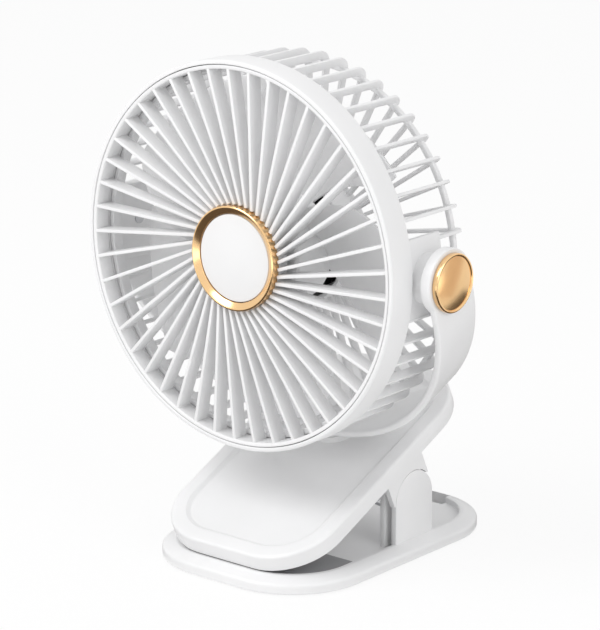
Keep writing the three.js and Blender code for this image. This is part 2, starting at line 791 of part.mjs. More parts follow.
const turnWasherTop = panelCeiling - GAP;
const turnWasherBottom = turnWasherTop - TURN_WASHER_THICKNESS;
const turnHeadTop = turnWasherBottom - GAP;

function makeTurnWasher() {
  const ring = rod(TURN_WASHER_R, 0, YOKE_AXIS_Y, turnWasherBottom, turnWasherTop, 32);
  const hole = rod(TURN_SCREW_R + BORE_CLEARANCE, 0, YOKE_AXIS_Y, 0, JAW_TOP, 24);
  return mesh('turntable_washer', cut(ring, hole), steel);
}

// ================================================================ yoke
// Everything that swings about the tilt axis stays inside this radius.
const sweptR = Math.max(
  Math.hypot(HEAD_R - BEZEL_EDGE, PIVOT_DEPTH),
  Math.hypot(HEAD_R, PIVOT_DEPTH - BEZEL_EDGE),
  Math.hypot(CAGE_R, CAGE_DEPTH - CAGE_CORNER_R - PIVOT_DEPTH),
  Math.hypot(CAGE_R - CAGE_CORNER_R, CAGE_DEPTH - PIVOT_DEPTH),
);
const yokeInnerR = sweptR + HEAD_SWING_CLEARANCE;
const yokeOuterR = yokeInnerR + YOKE_THICKNESS;
const pivotHeight = YOKE_FOOT_HEIGHT + yokeOuterR;
const washerOuter = yokeInnerR - GAP;
const washerInner = washerOuter - PIVOT_WASHER_THICKNESS;
const bossEnd = washerInner - GAP;
const capInner = yokeOuterR + GAP;
const capOuter = capInner + CAP_HEIGHT;

// Measured from the turning axis, at the height of the jaw's rim.
function makeYoke() {
  const band = new THREE.Shape();
  band.absarc(0, 0, yokeOuterR, Math.PI, Math.PI * 2);
  band.absarc(0, 0, yokeInnerR, Math.PI * 2, Math.PI, true);
  band.closePath();
  const geometry = new THREE.ExtrudeGeometry(band, {
    depth: YOKE_WIDTH - 2 * YOKE_EDGE,
    bevelEnabled: true,
    bevelSegments: 1,
    bevelSize: YOKE_EDGE / 2,
    bevelOffset: -YOKE_EDGE / 2,
    bevelThickness: YOKE_EDGE,
    curveSegments: 16,
  });
  geometry.rotateX(Math.PI / 2);
  geometry.translate(0, YOKE_WIDTH / 2 - YOKE_EDGE, pivotHeight);
  let yoke = solid(geometry);
  for (const [, side] of sides) {
    const low = Math.min(side * yokeInnerR, side * yokeOuterR);
    const high = Math.max(side * yokeInnerR, side * yokeOuterR);
    yoke = join(yoke, rodX(YOKE_WIDTH / 2, 0, pivotHeight, low, high, 32));
  }
  const footTop = YOKE_FOOT_HEIGHT + YOKE_THICKNESS / 2;
  yoke = join(yoke, rod(TURN_R, 0, 0, turnBossTop - JAW_TOP + GAP, footTop, 32));
  const biteTop = turnBossTop - JAW_TOP + GAP + TURN_SCREW_BITE;
  yoke = cut(
    yoke,
    rod(TURN_SCREW_R + BORE_CLEARANCE, 0, 0, 0, biteTop + GAP, 24),
    rodX(PIVOT_SCREW_R + BORE_CLEARANCE, 0, pivotHeight, -yokeOuterR - 5, yokeOuterR + 5, 20),
    rodX(PIVOT_WASHER_R + 2 * GAP, 0, pivotHeight, -yokeInnerR, yokeInnerR, 24),
  );
  return mesh('yoke', yoke, whitePlastic);
}

function makeTurnScrew() {
  const headBottom = turnHeadTop - TURN_SCREW_HEAD_HEIGHT - JAW_TOP;
  const shankTop = turnBossTop - JAW_TOP + GAP + TURN_SCREW_BITE;
  const body = join(
    rod(TURN_SCREW_HEAD_R, 0, 0, headBottom, headBottom + TURN_SCREW_HEAD_HEIGHT, 24),
    rod(TURN_SCREW_R, 0, 0, headBottom + 0.5, shankTop, 20),
  );
  return mesh('turntable_screw', body, steel);
}

// ================================================================ tilt pivot, along X from the head's middle
// A profile of [radius, distance] points turned about the tilt axis.
function turnedX(profile, side, segments) {
  const points = profile.map(([r, x]) => new THREE.Vector2(r, x));
  if (profile[0][0] > 0) {
    points.push(points[0].clone());
  }
  const geometry = new THREE.LatheGeometry(points, segments);
  geometry.rotateZ(-side * Math.PI / 2);
  return solid(geometry);
}

function makeCap(name, side) {
  const cap = turnedX([
    [0, capOuter],
    [CAP_R - 2 * CAP_EDGE, capOuter - CAP_EDGE * 0.15],
    [CAP_R - CAP_EDGE, capOuter - CAP_EDGE * 0.3],
    [CAP_R, capOuter - CAP_EDGE],
    [CAP_R, capInner],
    [CAP_R - CAP_WALL * 1.5, capInner],
    [CAP_R - CAP_WALL * 1.5, capOuter - CAP_WALL],
    [0, capOuter - CAP_WALL],
  ], side, 30);
  return mesh(name, cap, gold);
}

function makePivotWasher(name, side) {
  const washer = turnedX([
    [PIVOT_SCREW_R + BORE_CLEARANCE, washerInner],
    [PIVOT_SCREW_R + BORE_CLEARANCE, washerOuter],
    [PIVOT_WASHER_R, washerOuter],
    [PIVOT_WASHER_R, washerInner],
  ], side, 32);
  return mesh(name, washer, darkRubber);
}

function makePivotScrew(name, side) {
  const headOuter = capInner + PIVOT_SCREW_HEAD_HEIGHT;
  const screwBody = turnedX([
    [0, headOuter],
    [PIVOT_SCREW_HEAD_R, headOuter],
    [PIVOT_SCREW_HEAD_R, capInner],
    [PIVOT_SCREW_R, capInner],
    [PIVOT_SCREW_R, bossEnd - PIVOT_SCREW_BITE],
    [0, bossEnd - PIVOT_SCREW_BITE],
  ], side, 20);
  return mesh(name, screwBody, steel);
}

// ================================================================ fan head, measured from its front plane
const bezelInnerR = HEAD_R - BEZEL_WALL;
const ledgeDepth = GRILLE_DEPTH + GAP;
const ledgeR = bezelInnerR - BEZEL_LEDGE;
const grilleOuterR = bezelInnerR - GAP;
const grilleInnerR = grilleOuterR - GRILLE_RING_WALL;
const cageRingR = ledgeR - GAP;
const cageFront = BEZEL_DEPTH + GAP;

function makeBezel() {
  const profile = [
    [bezelInnerR, 0],
    [HEAD_R - BEZEL_EDGE * 0.6, BEZEL_EDGE * 0.12],
    [HEAD_R - BEZEL_EDGE * 0.2, BEZEL_EDGE * 0.45],
    [HEAD_R, BEZEL_EDGE],
    [HEAD_R, BEZEL_DEPTH],
    [ledgeR, BEZEL_DEPTH],
    [ledgeR, ledgeDepth],
    [bezelInnerR, ledgeDepth],
  ];
  return mesh('front_bezel', turned(profile), whitePlastic);
}

function makeGrille() {
  const ring = turned([
    [grilleInnerR, RIB_SINK],
    [grilleInnerR + 0.5, 0],
    [grilleOuterR, 0],
    [grilleOuterR, GRILLE_DEPTH],
    [grilleInnerR, GRILLE_DEPTH],
  ], RIB_COUNT);
  const hub = turned([
    [0, HUB_SEAT_DEPTH],
    [GRILLE_HUB_R, HUB_SEAT_DEPTH],
    [GRILLE_HUB_R, GRILLE_DEPTH],
    [GRILLE_HUB_R - GRILLE_HUB_SKIN, GRILLE_DEPTH],
    [GRILLE_HUB_R - GRILLE_HUB_SKIN, HUB_SEAT_DEPTH + GRILLE_HUB_SKIN],
    [0, HUB_SEAT_DEPTH + GRILLE_HUB_SKIN],
  ], RIB_COUNT);
  let grille = join(ring, hub);
  const innerEnd = Math.sqrt((GRILLE_HUB_R - GRILLE_HUB_SKIN / 2) ** 2 - RIB_OFFSET ** 2);
  const outerEnd = Math.sqrt((grilleInnerR + GRILLE_RING_WALL / 2) ** 2 - RIB_OFFSET ** 2);
  const profile = new THREE.Shape();
  profile.moveTo(innerEnd, RIB_SINK);
  profile.lineTo(outerEnd, RIB_SINK);
  profile.lineTo(outerEnd, GRILLE_DEPTH - 0.2);
  profile.lineTo(innerEnd, GRILLE_DEPTH - 0.2);
  profile.closePath();
  for (let i = 0; i < RIB_COUNT; i += 1) {
    const geometry = new THREE.ExtrudeGeometry(profile, { depth: RIB_THICKNESS, bevelEnabled: false });
    geometry.translate(0, 0, -RIB_THICKNESS / 2 - RIB_OFFSET);
    geometry.rotateY(-THREE.MathUtils.degToRad(RIB_FIRST_ANGLE + (i * 360) / RIB_COUNT));
    grille = join(grille, solid(geometry));
  }
  const seat = rodY(HUB_RING_R + GAP, 0, 0, -5, HUB_SEAT_DEPTH, 48);
  return mesh('front_grille', cut(grille, seat), whitePlastic);
}

function makeHubRing() {
  const inner = BADGE_R + GAP;
  const ring = turned([
    [inner, HUB_SEAT_DEPTH - GAP],
    [inner, HUB_RING_DISH - HUB_RING_PROUD],
    [HUB_RING_R - HUB_RING_LIP, -HUB_RING_PROUD],
    [HUB_RING_R, HUB_RING_LIP / 2 - HUB_RING_PROUD],
    [HUB_RING_R, HUB_SEAT_DEPTH - GAP],
  ], 40);
  return mesh('hub_ring', ring, gold);
}

function makeBadge() {
  const badge = turned([
    [0, -BADGE_PROUD],
    [BADGE_R - 0.3, -BADGE_PROUD],
    [BADGE_R, -BADGE_PROUD + 0.3],
    [BADGE_R, HUB_SEAT_DEPTH - GAP],
    [0, HUB_SEAT_DEPTH - GAP],
  ], 40);
  return mesh('hub_badge', badge, badgePlastic);
}

const finInnerR = CAGE_R - FIN_WIDTH;
const motorCupR = MOTOR_R + MOTOR_CUP_MARGIN + MOTOR_CUP_WALL;
const motorCupFront = CAGE_DEPTH - MOTOR_CUP_DEPTH;
const motorCupBack = CAGE_DEPTH + MOTOR_CUP_PROUD;
const motorHeadFront = motorCupBack - SCREW_HEAD_HEIGHT;
const motorBack = CAGE_DEPTH - MOTOR_CUP_SKIN - GAP;
const motorFront = motorBack - MOTOR_LENGTH;

// One L-shaped fin: a bar along the side, a rounded corner and a bar across the back.
function finOutline() {
  const cornerR = CAGE_R - CAGE_CORNER_R;
  const cornerY = CAGE_DEPTH - CAGE_CORNER_R;
  const shape = new THREE.Shape();
  const ringMiddle = cageRingR - CAGE_RING_WALL / 2;
  shape.moveTo(ringMiddle - GAP, cageFront - 1);
  shape.lineTo(ringMiddle + GAP, cageFront - 1);
  shape.lineTo(ringMiddle + GAP, cageFront);
  shape.lineTo(CAGE_R, cageFront);
  shape.absarc(cornerR, cornerY, CAGE_CORNER_R, 0, Math.PI / 2);
  shape.lineTo(motorCupR - MOTOR_CUP_WALL / 2, CAGE_DEPTH);
  shape.lineTo(motorCupR - MOTOR_CUP_WALL / 2, CAGE_DEPTH - BAR_DEPTH);
  shape.lineTo(finInnerR - CAGE_INNER_CHAMFER, CAGE_DEPTH - BAR_DEPTH);
  shape.lineTo(finInnerR, CAGE_DEPTH - BAR_DEPTH - CAGE_INNER_CHAMFER);
  shape.lineTo(finInnerR, cageFront);
  shape.closePath();
  return shape;
}

function makeCage() {
  let cage = turned([
    [cageRingR - CAGE_RING_WALL, cageFront - CAGE_RING_DEPTH],
    [cageRingR, cageFront - CAGE_RING_DEPTH],
    [cageRingR, cageFront],
    [cageRingR - CAGE_RING_WALL, cageFront],
  ], FIN_COUNT);
  const hoopR = finInnerR - HOOP_INSET;
  const hoopBack = CAGE_DEPTH - HOOP_FROM_BACK;
  const hoop = turned([
    [hoopR - HOOP_WIDTH, hoopBack - HOOP_DEPTH],
    [hoopR, hoopBack - HOOP_DEPTH],
    [hoopR, hoopBack],
    [hoopR - HOOP_WIDTH, hoopBack],
  ], FIN_COUNT);
  const cup = turned([
    [0, CAGE_DEPTH - MOTOR_CUP_SKIN],
    [motorCupR - MOTOR_CUP_WALL, CAGE_DEPTH - MOTOR_CUP_SKIN],
    [motorCupR - MOTOR_CUP_WALL, motorCupFront],
    [motorCupR, motorCupFront],
    [motorCupR, CAGE_DEPTH],
    [motorCupR - MOTOR_CUP_PROUD, motorCupBack],
    [0, motorCupBack],
  ], FIN_COUNT);
  cage = join(cage, hoop, cup);
  for (let i = 0; i < FIN_COUNT; i += 1) {
    const angle = THREE.MathUtils.degToRad(FIN_FIRST_ANGLE + (i * 360) / FIN_COUNT);
    const rise = Math.abs(Math.sin(angle)) * CAGE_R;
    const geometry = new THREE.ExtrudeGeometry(finOutline(), {
      depth: FIN_THICKNESS,
      bevelEnabled: false,
      curveSegments: 2,
    });
    geometry.translate(0, 0, -FIN_THICKNESS / 2);
    geometry.rotateY(-angle);
    let fin = solid(geometry);
    if (rise < SIDE_PANEL_HALF - FIN_THICKNESS) {
      fin = fin.intersect(rodY(CAGE_R * 2, 0, 0, SIDE_PANEL_END - 1, CAGE_DEPTH + 1, 8));
    }
    cage = join(cage, fin);
  }
  const panelR = CAGE_R - 0.2;
  const panelRing = turned([
    [panelR - SIDE_PANEL_WALL, cageFront - 2],
    [cageRingR, cageFront - 2],
    [cageRingR, cageFront],
    [panelR, cageFront],
    [panelR, SIDE_PANEL_END],
    [panelR - SIDE_PANEL_WALL, SIDE_PANEL_END],
  ], FIN_COUNT);
  for (const [, side] of sides) {
    const near = Math.min(side * HEAD_R / 2, side * HEAD_R * 1.1);
    const far = Math.max(side * HEAD_R / 2, side * HEAD_R * 1.1);
    const wedge = box(near, far, 0, CAGE_DEPTH, -SIDE_PANEL_HALF, SIDE_PANEL_HALF);
    const bossLow = Math.min(side * (panelR - SIDE_PANEL_WALL), side * bossEnd);
    const bossHigh = Math.max(side * (panelR - SIDE_PANEL_WALL), side * bossEnd);
    cage = join(
      cage,
      panelRing.intersect(wedge),
      rodX(PIVOT_BOSS_R, PIVOT_DEPTH, 0, bossLow, bossHigh, 32),
    );
  }
  const reach = bossEnd + 5;
  const boreInner = bossEnd - PIVOT_SCREW_BITE - 2;
  for (const [, side] of sides) {
    const low = Math.min(side * boreInner, side * reach);
    const high = Math.max(side * boreInner, side * reach);
    cage = cut(cage, rodX(PIVOT_SCREW_R + BORE_CLEARANCE, PIVOT_DEPTH, 0, low, high, 24));
  }
  for (const [x, z] of motorScrewPlaces()) {
    cage = cut(
      cage,
      rodY(SCREW_R + BORE_CLEARANCE, x, z, motorBack, motorCupBack + 1, 8),
      rodY(SCREW_HEAD_R + GAP, x, z, motorHeadFront, motorCupBack + 1, 16),
    );
  }
  return mesh('rear_cage', cage, whitePlastic);
}


function motorScrewPlaces() {
  const places = [];
  for (let i = 0; i < MOTOR_SCREW_COUNT; i += 1) {
    const angle = Math.PI / 2 + (i * 2 * Math.PI) / MOTOR_SCREW_COUNT;
    places.push([MOTOR_SCREW_CIRCLE_R * Math.cos(angle), MOTOR_SCREW_CIRCLE_R * Math.sin(angle)]);
  }
  return places;
}

function makeMotor() {
  let motor = turned([
    [0, motorFront],
    [MOTOR_R - 1.5, motorFront],
    [MOTOR_R, motorFront + 1.5],
    [MOTOR_R, motorBack - 1],
    [MOTOR_R - 1, motorBack],
    [0, motorBack],
  ], 32);
  motor = cut(motor, rodY(SHAFT_R + BORE_CLEARANCE, 0, 0, motorFront - 1, motorFront + SHAFT_BITE + GAP, 20));
  for (const [x, z] of motorScrewPlaces()) {
    motor = cut(motor, rodY(SCREW_R + BORE_CLEARANCE, x, z, motorBack - SCREW_GRIP - GAP, motorBack + 1, 8));
  }
  return mesh('motor', motor, darkMetal);
}

function makeMotorScrew(name, x, z) {
  const body = join(
    rodY(SCREW_HEAD_R, x, z, motorHeadFront + GAP, motorCupBack, 16),
    rodY(SCREW_R, x, z, motorBack - SCREW_GRIP, motorHeadFront + 2 * GAP, 8),
  );
  return mesh(name, body, steel);
}

// ================================================================ rotor
const impellerHubR = MOTOR_R + IMPELLER_MOTOR_GAP + IMPELLER_HUB_WALL;

// One blade: its section is swept from the hub to the tip, then bent round the shaft.
function blade(index) {
  const chord = 8;
  const section = new THREE.Shape();
  const lift = (f) => BLADE_RISE * f + BLADE_CAMBER * Math.sin(Math.PI * f);
  section.moveTo(0, lift(0));
  for (let k = 1; k <= chord; k += 1) {
    section.lineTo(k / chord, lift(k / chord));
  }
  for (let k = chord; k >= 0; k -= 1) {
    section.lineTo(k / chord, lift(k / chord) + BLADE_THICKNESS);
  }
  section.closePath();
  const rings = 4;
  const geometry = new THREE.ExtrudeGeometry(section, { depth: 1, steps: rings, bevelEnabled: false });
  const position = geometry.getAttribute('position');
  const root = impellerHubR - IMPELLER_HUB_WALL / 2;
  const lead = THREE.MathUtils.degToRad(BLADE_FIRST_EDGE + (index * 360) / BLADE_COUNT);
  const span = THREE.MathUtils.degToRad(BLADE_SPAN_ANGLE);
  const sweep = THREE.MathUtils.degToRad(BLADE_SWEEP);
  for (let i = 0; i < position.count; i += 1) {
    const f = position.getX(i);
    const y = position.getY(i);
    const out = position.getZ(i);
    const radius = root + (IMPELLER_R - root) * out;
    const flatten = 1 - 0.25 * out;
    const corner = 0.12 * span * Math.max(out - 0.6, 0) ** 2 * 6.25;
    const angle = lead - sweep * out - corner - f * (span - 2 * corner);
    position.setXYZ(
      i,
      radius * Math.cos(angle),
      BLADE_START + y * flatten,
      radius * Math.sin(angle),
    );
  }
  return solid(geometry);
}

function makeImpeller() {
  const hubBack = IMPELLER_FRONT + IMPELLER_HUB_LENGTH;
  const inner = impellerHubR - IMPELLER_HUB_WALL;
  const skin = IMPELLER_FRONT + IMPELLER_HUB_WALL;
  const bossEndY = Math.min(skin + SHAFT_BOSS_LENGTH, motorFront - 1);
  let hub = turned([
    [0, IMPELLER_FRONT],
    [impellerHubR - IMPELLER_HUB_EDGE, IMPELLER_FRONT],
    [impellerHubR, IMPELLER_FRONT + IMPELLER_HUB_EDGE],
    [impellerHubR, hubBack],
    [inner, hubBack],
    [inner, skin],
    [SHAFT_BOSS_R, skin],
    [SHAFT_BOSS_R, bossEndY],
    [0, bossEndY],
  ], 32);
  for (let i = 0; i < BLADE_COUNT; i += 1) {
    hub = join(hub, blade(i));
  }
  hub = cut(hub, rodY(SHAFT_R + BORE_CLEARANCE, 0, 0, skin, motorFront, 20));
  return mesh('impeller', hub, bladePlastic);
}

function makeShaft() {
  const front = IMPELLER_FRONT + IMPELLER_HUB_WALL + GAP;
  return mesh('motor_shaft', rodY(SHAFT_R, 0, 0, front, motorFront + SHAFT_BITE, 20), steel);
}

// ================================================================ assembly
const clipFan = new THREE.Group();
clipFan.name = 'clip_fan';

clipFan.add(makeLowerShell());
clipFan.add(makeBottomCover());
clipFan.add(makeGripPad());
coverScrews.forEach(([x, y], i) => {
  clipFan.add(smallScrew(`cover_screw_${i + 1}`, x, y, coverBottom));
});
clipFan.add(mesh('foot_pad', footPadBlock(0, FOOT_PAD_RECESS - GAP), darkRubber));
const pinHalf = bracketOuter - BRACKET_END_SKIN - GAP;
clipFan.add(mesh('hinge_pin', rodX(HINGE_PIN_R, HINGE_Y, HINGE_Z, -pinHalf, pinHalf, 24), steel));
for (const [name, side] of sides) {
  clipFan.add(makeSpring(`torsion_spring_${name}`, side, closedTilt));
}

const jaw = new THREE.Group();
jaw.position.set(0, HINGE_Y, HINGE_Z);
jaw.rotation.x = closedTilt;
clipFan.add(jaw);
jaw.add(makeUpperShell(), makeUnderCover(), makeTipPad(), makeBattery(), makeBoard(), makeSocket());
jaw.add(makeButton(), makeLens(), makeTurnWasher());
jawScrews.forEach(([x, y], i) => {
  jaw.add(smallScrew(`jaw_screw_${i + 1}`, x, y, underBottom));
});

const yoke = new THREE.Group();
yoke.position.set(0, YOKE_AXIS_Y, JAW_TOP);
jaw.add(yoke);
yoke.add(makeYoke(), makeTurnScrew());

const head = new THREE.Group();
head.position.set(0, 0, pivotHeight);
head.rotation.x = -closedTilt;
yoke.add(head);
for (const [name, side] of sides) {
  head.add(makeCap(`pivot_cap_${name}`, side));
  head.add(makePivotWasher(`pivot_washer_${name}`, side));
  head.add(makePivotScrew(`pivot_screw_${name}`, side));
}

const drum = new THREE.Group();
drum.position.set(0, -PIVOT_DEPTH, 0);
head.add(drum);
drum.add(makeBezel(), makeGrille(), makeHubRing(), makeBadge(), makeCage(), makeMotor());
motorScrewPlaces().forEach(([x, z], i) => {
  drum.add(makeMotorScrew(`motor_screw_${i + 1}`, x, z));
});
drum.add(makeImpeller(), makeShaft());

export default clipFan;
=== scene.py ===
import json
import math

import bmesh
import bpy
from bpy.props import FloatProperty, FloatVectorProperty, IntProperty, PointerProperty
from mathutils import Matrix, Vector


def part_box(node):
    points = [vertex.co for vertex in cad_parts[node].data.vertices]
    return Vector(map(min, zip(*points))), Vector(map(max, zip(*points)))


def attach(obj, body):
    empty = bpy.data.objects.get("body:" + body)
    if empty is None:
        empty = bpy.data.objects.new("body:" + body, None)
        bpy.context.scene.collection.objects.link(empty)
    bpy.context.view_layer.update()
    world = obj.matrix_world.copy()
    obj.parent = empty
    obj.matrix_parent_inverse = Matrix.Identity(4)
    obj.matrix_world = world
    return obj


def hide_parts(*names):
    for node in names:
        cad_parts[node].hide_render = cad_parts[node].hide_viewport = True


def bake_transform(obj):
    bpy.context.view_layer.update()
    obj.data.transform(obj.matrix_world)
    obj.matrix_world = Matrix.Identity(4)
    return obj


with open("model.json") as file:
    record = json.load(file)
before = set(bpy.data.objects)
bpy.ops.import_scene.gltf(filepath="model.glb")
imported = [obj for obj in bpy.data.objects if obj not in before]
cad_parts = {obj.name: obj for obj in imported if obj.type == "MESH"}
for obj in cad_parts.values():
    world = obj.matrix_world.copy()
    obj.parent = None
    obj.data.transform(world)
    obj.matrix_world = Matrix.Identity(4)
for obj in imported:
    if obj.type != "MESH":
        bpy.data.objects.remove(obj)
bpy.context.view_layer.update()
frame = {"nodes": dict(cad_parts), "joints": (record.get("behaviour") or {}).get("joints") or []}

bl_info = {
    "name": "Clip Fan Builder",
    "version": (1, 0, 0),
    "blender": (4, 5, 0),
    "location": "View3D > Sidebar > Clip Fan",
    "description": "Builds a caged fan on a spring clip, piece by piece",
    "category": "Add Mesh",
}

JOINTS = {joint["name"]: joint for joint in frame["joints"]}
PIVOT = Vector(JOINTS["head_tilt"]["pos_m"])
HINGE = Vector(JOINTS["jaw_hinge"]["pos_m"])
LEAN = Vector(JOINTS["yoke_turn"]["axis"])
TILT = math.atan2(-LEAN.y, LEAN.z)
MM = Matrix.Scale(0.001, 4)

# Sizes in millimetres that several pieces share.
SHELL_WALL = 2.2  # thickness of the upper jaw's side
COVER_GAP = 0.4  # lower edge of the jaw to its under cover
COVER_WALL = 1.6  # thickness of the under cover
COVER_INSET = 2.5  # side of the jaw to its under cover
SOCKET_LIFT = 0.3  # under cover to the charging socket
SOCKET_HALF = 1.5  # half the height of the charging socket
LENS_AT = 12  # indicator lens beside the middle
BRACKET_WALL = 2.5  # thickness of one hinge bracket
BRACKET_GAP = 3.0  # gap in a fork of the hinge
BASE_LIFT = 0.6  # table to the base shell and its cover
FOOT_CORNER = 14  # corner radius of the foot pad
SCREW_HOLE = 2.4  # radius of the hole round a screw's head
JAW_SCREWS = [(28, -47), (30, 27), (-28, -47), (-30, 27)]
BASE_SCREWS = [(33, -29), (33, 29), (-33, -29), (-33, 29)]
MOTOR_SCREWS = [(12 * math.cos(turn), 12 * math.sin(turn)) for turn in map(math.radians, (90, 210, 330))]


# ---------------------------------------------------------------- sizes and colours

def length(name, text, default):
    return FloatProperty(name=name, description=text, default=default, min=0.0, unit="LENGTH", precision=5)


def degrees(name, text, default):
    return FloatProperty(name=name, description=text, default=math.radians(default), subtype="ANGLE")


def colour(name, text, default):
    return FloatVectorProperty(
        name=name, description=text, default=default, size=3, min=0.0, max=1.0, subtype="COLOR"
    )


class ClipFanHead(bpy.types.PropertyGroup):
    radius: length("Radius", "Outer radius of the front bezel", 0.074)
    pivot_depth: length("Pivot depth", "Front plane to the tilt axis", 0.0234)
    bezel_depth: length("Bezel depth", "Depth of the front bezel", 0.012)
    bezel_wall: length("Bezel wall", "Width of the bezel's front lip", 0.0017)
    groove: length("Groove", "Gap between neighbouring pieces", 0.0003)
    grille_depth: length("Grille depth", "Depth of the front grille", 0.007)
    ring_wall: length("Grille ring", "Width of the grille's outer ring", 0.0015)
    rib_count: IntProperty(name="Ribs", description="Ribs of the front grille", default=45, min=3)
    rib_thickness: length("Rib thickness", "Thickness of one rib", 0.00125)
    rib_offset: length("Rib offset", "Distance from a rib's line to the middle", 0.0079)
    rib_first: degrees("First rib", "Angle of the first rib", 11.3)
    hub_radius: length("Hub radius", "Outer radius of the gold ring", 0.0199)
    badge_radius: length("Badge radius", "Radius of the bare badge", 0.0166)
    hub_seat: length("Hub seat", "Depth of the seat under the gold ring", 0.0019)


class ClipFanCage(bpy.types.PropertyGroup):
    radius: length("Radius", "Outer radius of the fins", 0.0723)
    depth: length("Depth", "Front plane to the back of the fins", 0.0484)
    corner: length("Corner", "Radius of the fins' rounded corner", 0.006)
    fin_count: IntProperty(name="Fins", description="Fins round the cage", default=48, min=3)
    fin_thickness: length("Fin thickness", "Thickness of one fin", 0.00125)
    fin_width: length("Fin width", "Radial width of a fin's side bar", 0.0034)
    fin_first: degrees("First fin", "Angle of the first fin", 3.1)
    bar_depth: length("Bar depth", "Depth of a fin's rear bar", 0.0034)
    ring_depth: length("Ring depth", "Depth of the ring inside the bezel", 0.0046)
    hoop_back: length("Hoop place", "Hoop in front of the fins' back", 0.0025)
    hoop_width: length("Hoop width", "Width and depth of the inner hoop", 0.0022)
    panel_half: length("Panel half width", "Half the width of a side panel", 0.0156)
    panel_end: length("Panel end", "Front plane to the end of a side panel", 0.032)
    boss_radius: length("Boss radius", "Radius of the tilt boss", 0.0096)
    cup_radius: length("Motor cup", "Outer radius of the motor cup", 0.0244)
    motor_radius: length("Motor radius", "Radius of the motor can", 0.0196)
    motor_length: length("Motor length", "Length of the motor can", 0.023)


class ClipFanRotor(bpy.types.PropertyGroup):
    radius: length("Radius", "Tip radius of the blades", 0.065)
    hub_radius: length("Hub radius", "Outer radius of the hub", 0.0222)
    front: length("Front", "Front plane to the hub's nose", 0.0096)
    hub_length: length("Hub length", "Length of the hub", 0.020)
    blades: IntProperty(name="Blades", description="Number of blades", default=5, min=2)
    blade_thickness: length("Blade thickness", "Thickness of a blade", 0.0016)
    blade_span: degrees("Blade span", "Angle that a blade covers", 66)
    blade_first: degrees("First blade", "Angle of the first blade's edge", 48)
    sweep: degrees("Blade sweep", "Angle that a blade's tip trails its root", 30)
    rise: length("Rise", "Depth that a blade climbs", 0.017)
    camber: length("Camber", "Bow of a blade's section", 0.0024)


class ClipFanYoke(bpy.types.PropertyGroup):
    inner_radius: length("Inner radius", "Inner radius of the band", 0.0793)
    thickness: length("Thickness", "Thickness of the band", 0.0028)
    width: length("Width", "Width of the band", 0.0238)
    edge: length("Edge", "Rounding of the band's edges", 0.001)
    axis_behind: length("Axis", "Turning axis behind the hinge", 0.00905)
    foot_radius: length("Foot radius", "Radius of the turning foot", 0.0108)
    foot_height: length("Foot height", "Jaw rim to the underside of the band", 0.0045)
    disc_radius: length("Disc radius", "Radius of the disc at each end", 0.0125)
    disc_inner: length("Disc depth", "Inward thickness of the disc at each end", 0.0014)
    disc_bore: length("Disc bore", "Bore round the friction washer", 0.0076)
    cap_radius: length("Cap radius", "Radius of a pivot cap", 0.011)
    cap_height: length("Cap height", "Height of a pivot cap", 0.0023)


class ClipFanClip(bpy.types.PropertyGroup):
    base_width: length("Base width", "Width of the base", 0.0877)
    base_length: length("Base length", "Length of the base", 0.1271)
    base_corner: length("Base corner", "Corner radius of the base", 0.0311)
    base_edge: length("Base edge", "Height of the base's upright side", 0.0046)
    base_top: length("Base top", "Height of the rim", 0.0067)
    slope: length("Slope", "Run of the rim's slope", 0.0054)
    rim: length("Rim", "Flat part of the rim", 0.0018)
    floor: length("Floor", "Height of the tray's floor", 0.0044)
    jaw_width: length("Jaw width", "Width of the upper jaw", 0.0764)
    jaw_length: length("Jaw length", "Length of the upper jaw", 0.1176)
    jaw_corner: length("Jaw corner", "Corner radius of the upper jaw", 0.0243)
    jaw_front: length("Jaw front", "Hinge to the jaw's front edge", 0.0673)
    jaw_top: length("Jaw top", "Hinge to the jaw's rim", 0.02105)
    jaw_side: length("Jaw side", "Height of the jaw's side", 0.0069)
    jaw_rim: length("Jaw rim", "Width of the rim round the sunk panel", 0.0063)
    panel_depth: length("Panel depth", "Depth of the sunk panel", 0.0012)
    bracket: length("Bracket", "Radius of the hinge brackets", 0.0113)
    slot_width: length("Slot width", "Width of the hanging slot", 0.037)
    button_radius: length("Button radius", "Radius of the power button", 0.0054)
    button_at: length("Button place", "Button behind the hinge", 0.033)
    wire: length("Spring wire", "Radius of the spring wire", 0.0008)
    coil: length("Spring coil", "Radius of the coil to the wire's middle", 0.0052)


class ClipFanColours(bpy.types.PropertyGroup):
    shell: colour("Shell", "White moulded plastic", (0.86, 0.86, 0.865))
    # The blades' white is lighter than the shell's: painted light, in place of light that passes through the thin
    # blades and bounces inside the cage.
    blade: colour("Blades", "White plastic of the blades", (0.9, 0.9, 0.905))
    badge: colour("Badge", "Bare badge and button", (0.84, 0.84, 0.845))
    gold: colour("Gold", "Gold-coloured metal trim", (0.9, 0.6, 0.31))
    pad: colour("Pads", "Grey silicone grip pads", (0.34, 0.34, 0.35))
    rubber: colour("Rubber", "Dark rubber", (0.03, 0.03, 0.032))
    steel: colour("Steel", "Plated steel", (0.62, 0.63, 0.65))
    motor: colour("Motor", "Dark motor can", (0.02, 0.02, 0.022))
    board: colour("Board", "Circuit board", (0.03, 0.16, 0.07))
    wrap: colour("Battery", "Battery wrap", (0.04, 0.11, 0.36))
    lens: colour("Lens", "Indicator lens", (0.72, 0.85, 0.95))
    floor: colour("Floor", "Studio floor", (0.95, 0.95, 0.95))


def sizes(group):
    """The group's lengths in millimetres; angles and counts as they are."""
    values = {}
    for key, annotation in type(group).__annotations__.items():
        value = getattr(group, key)
        is_length = annotation.keywords.get("unit") == "LENGTH"
        values[key] = value * 1000.0 if is_length else value
    return values


# ---------------------------------------------------------------- where each group of pieces stands

def head_place(head):
    return Matrix.Translation(PIVOT - Vector((0, head["pivot_depth"] * 0.001, 0))) @ MM


def jaw_place():
    return Matrix.Translation(HINGE) @ Matrix.Rotation(TILT, 4, "X") @ MM


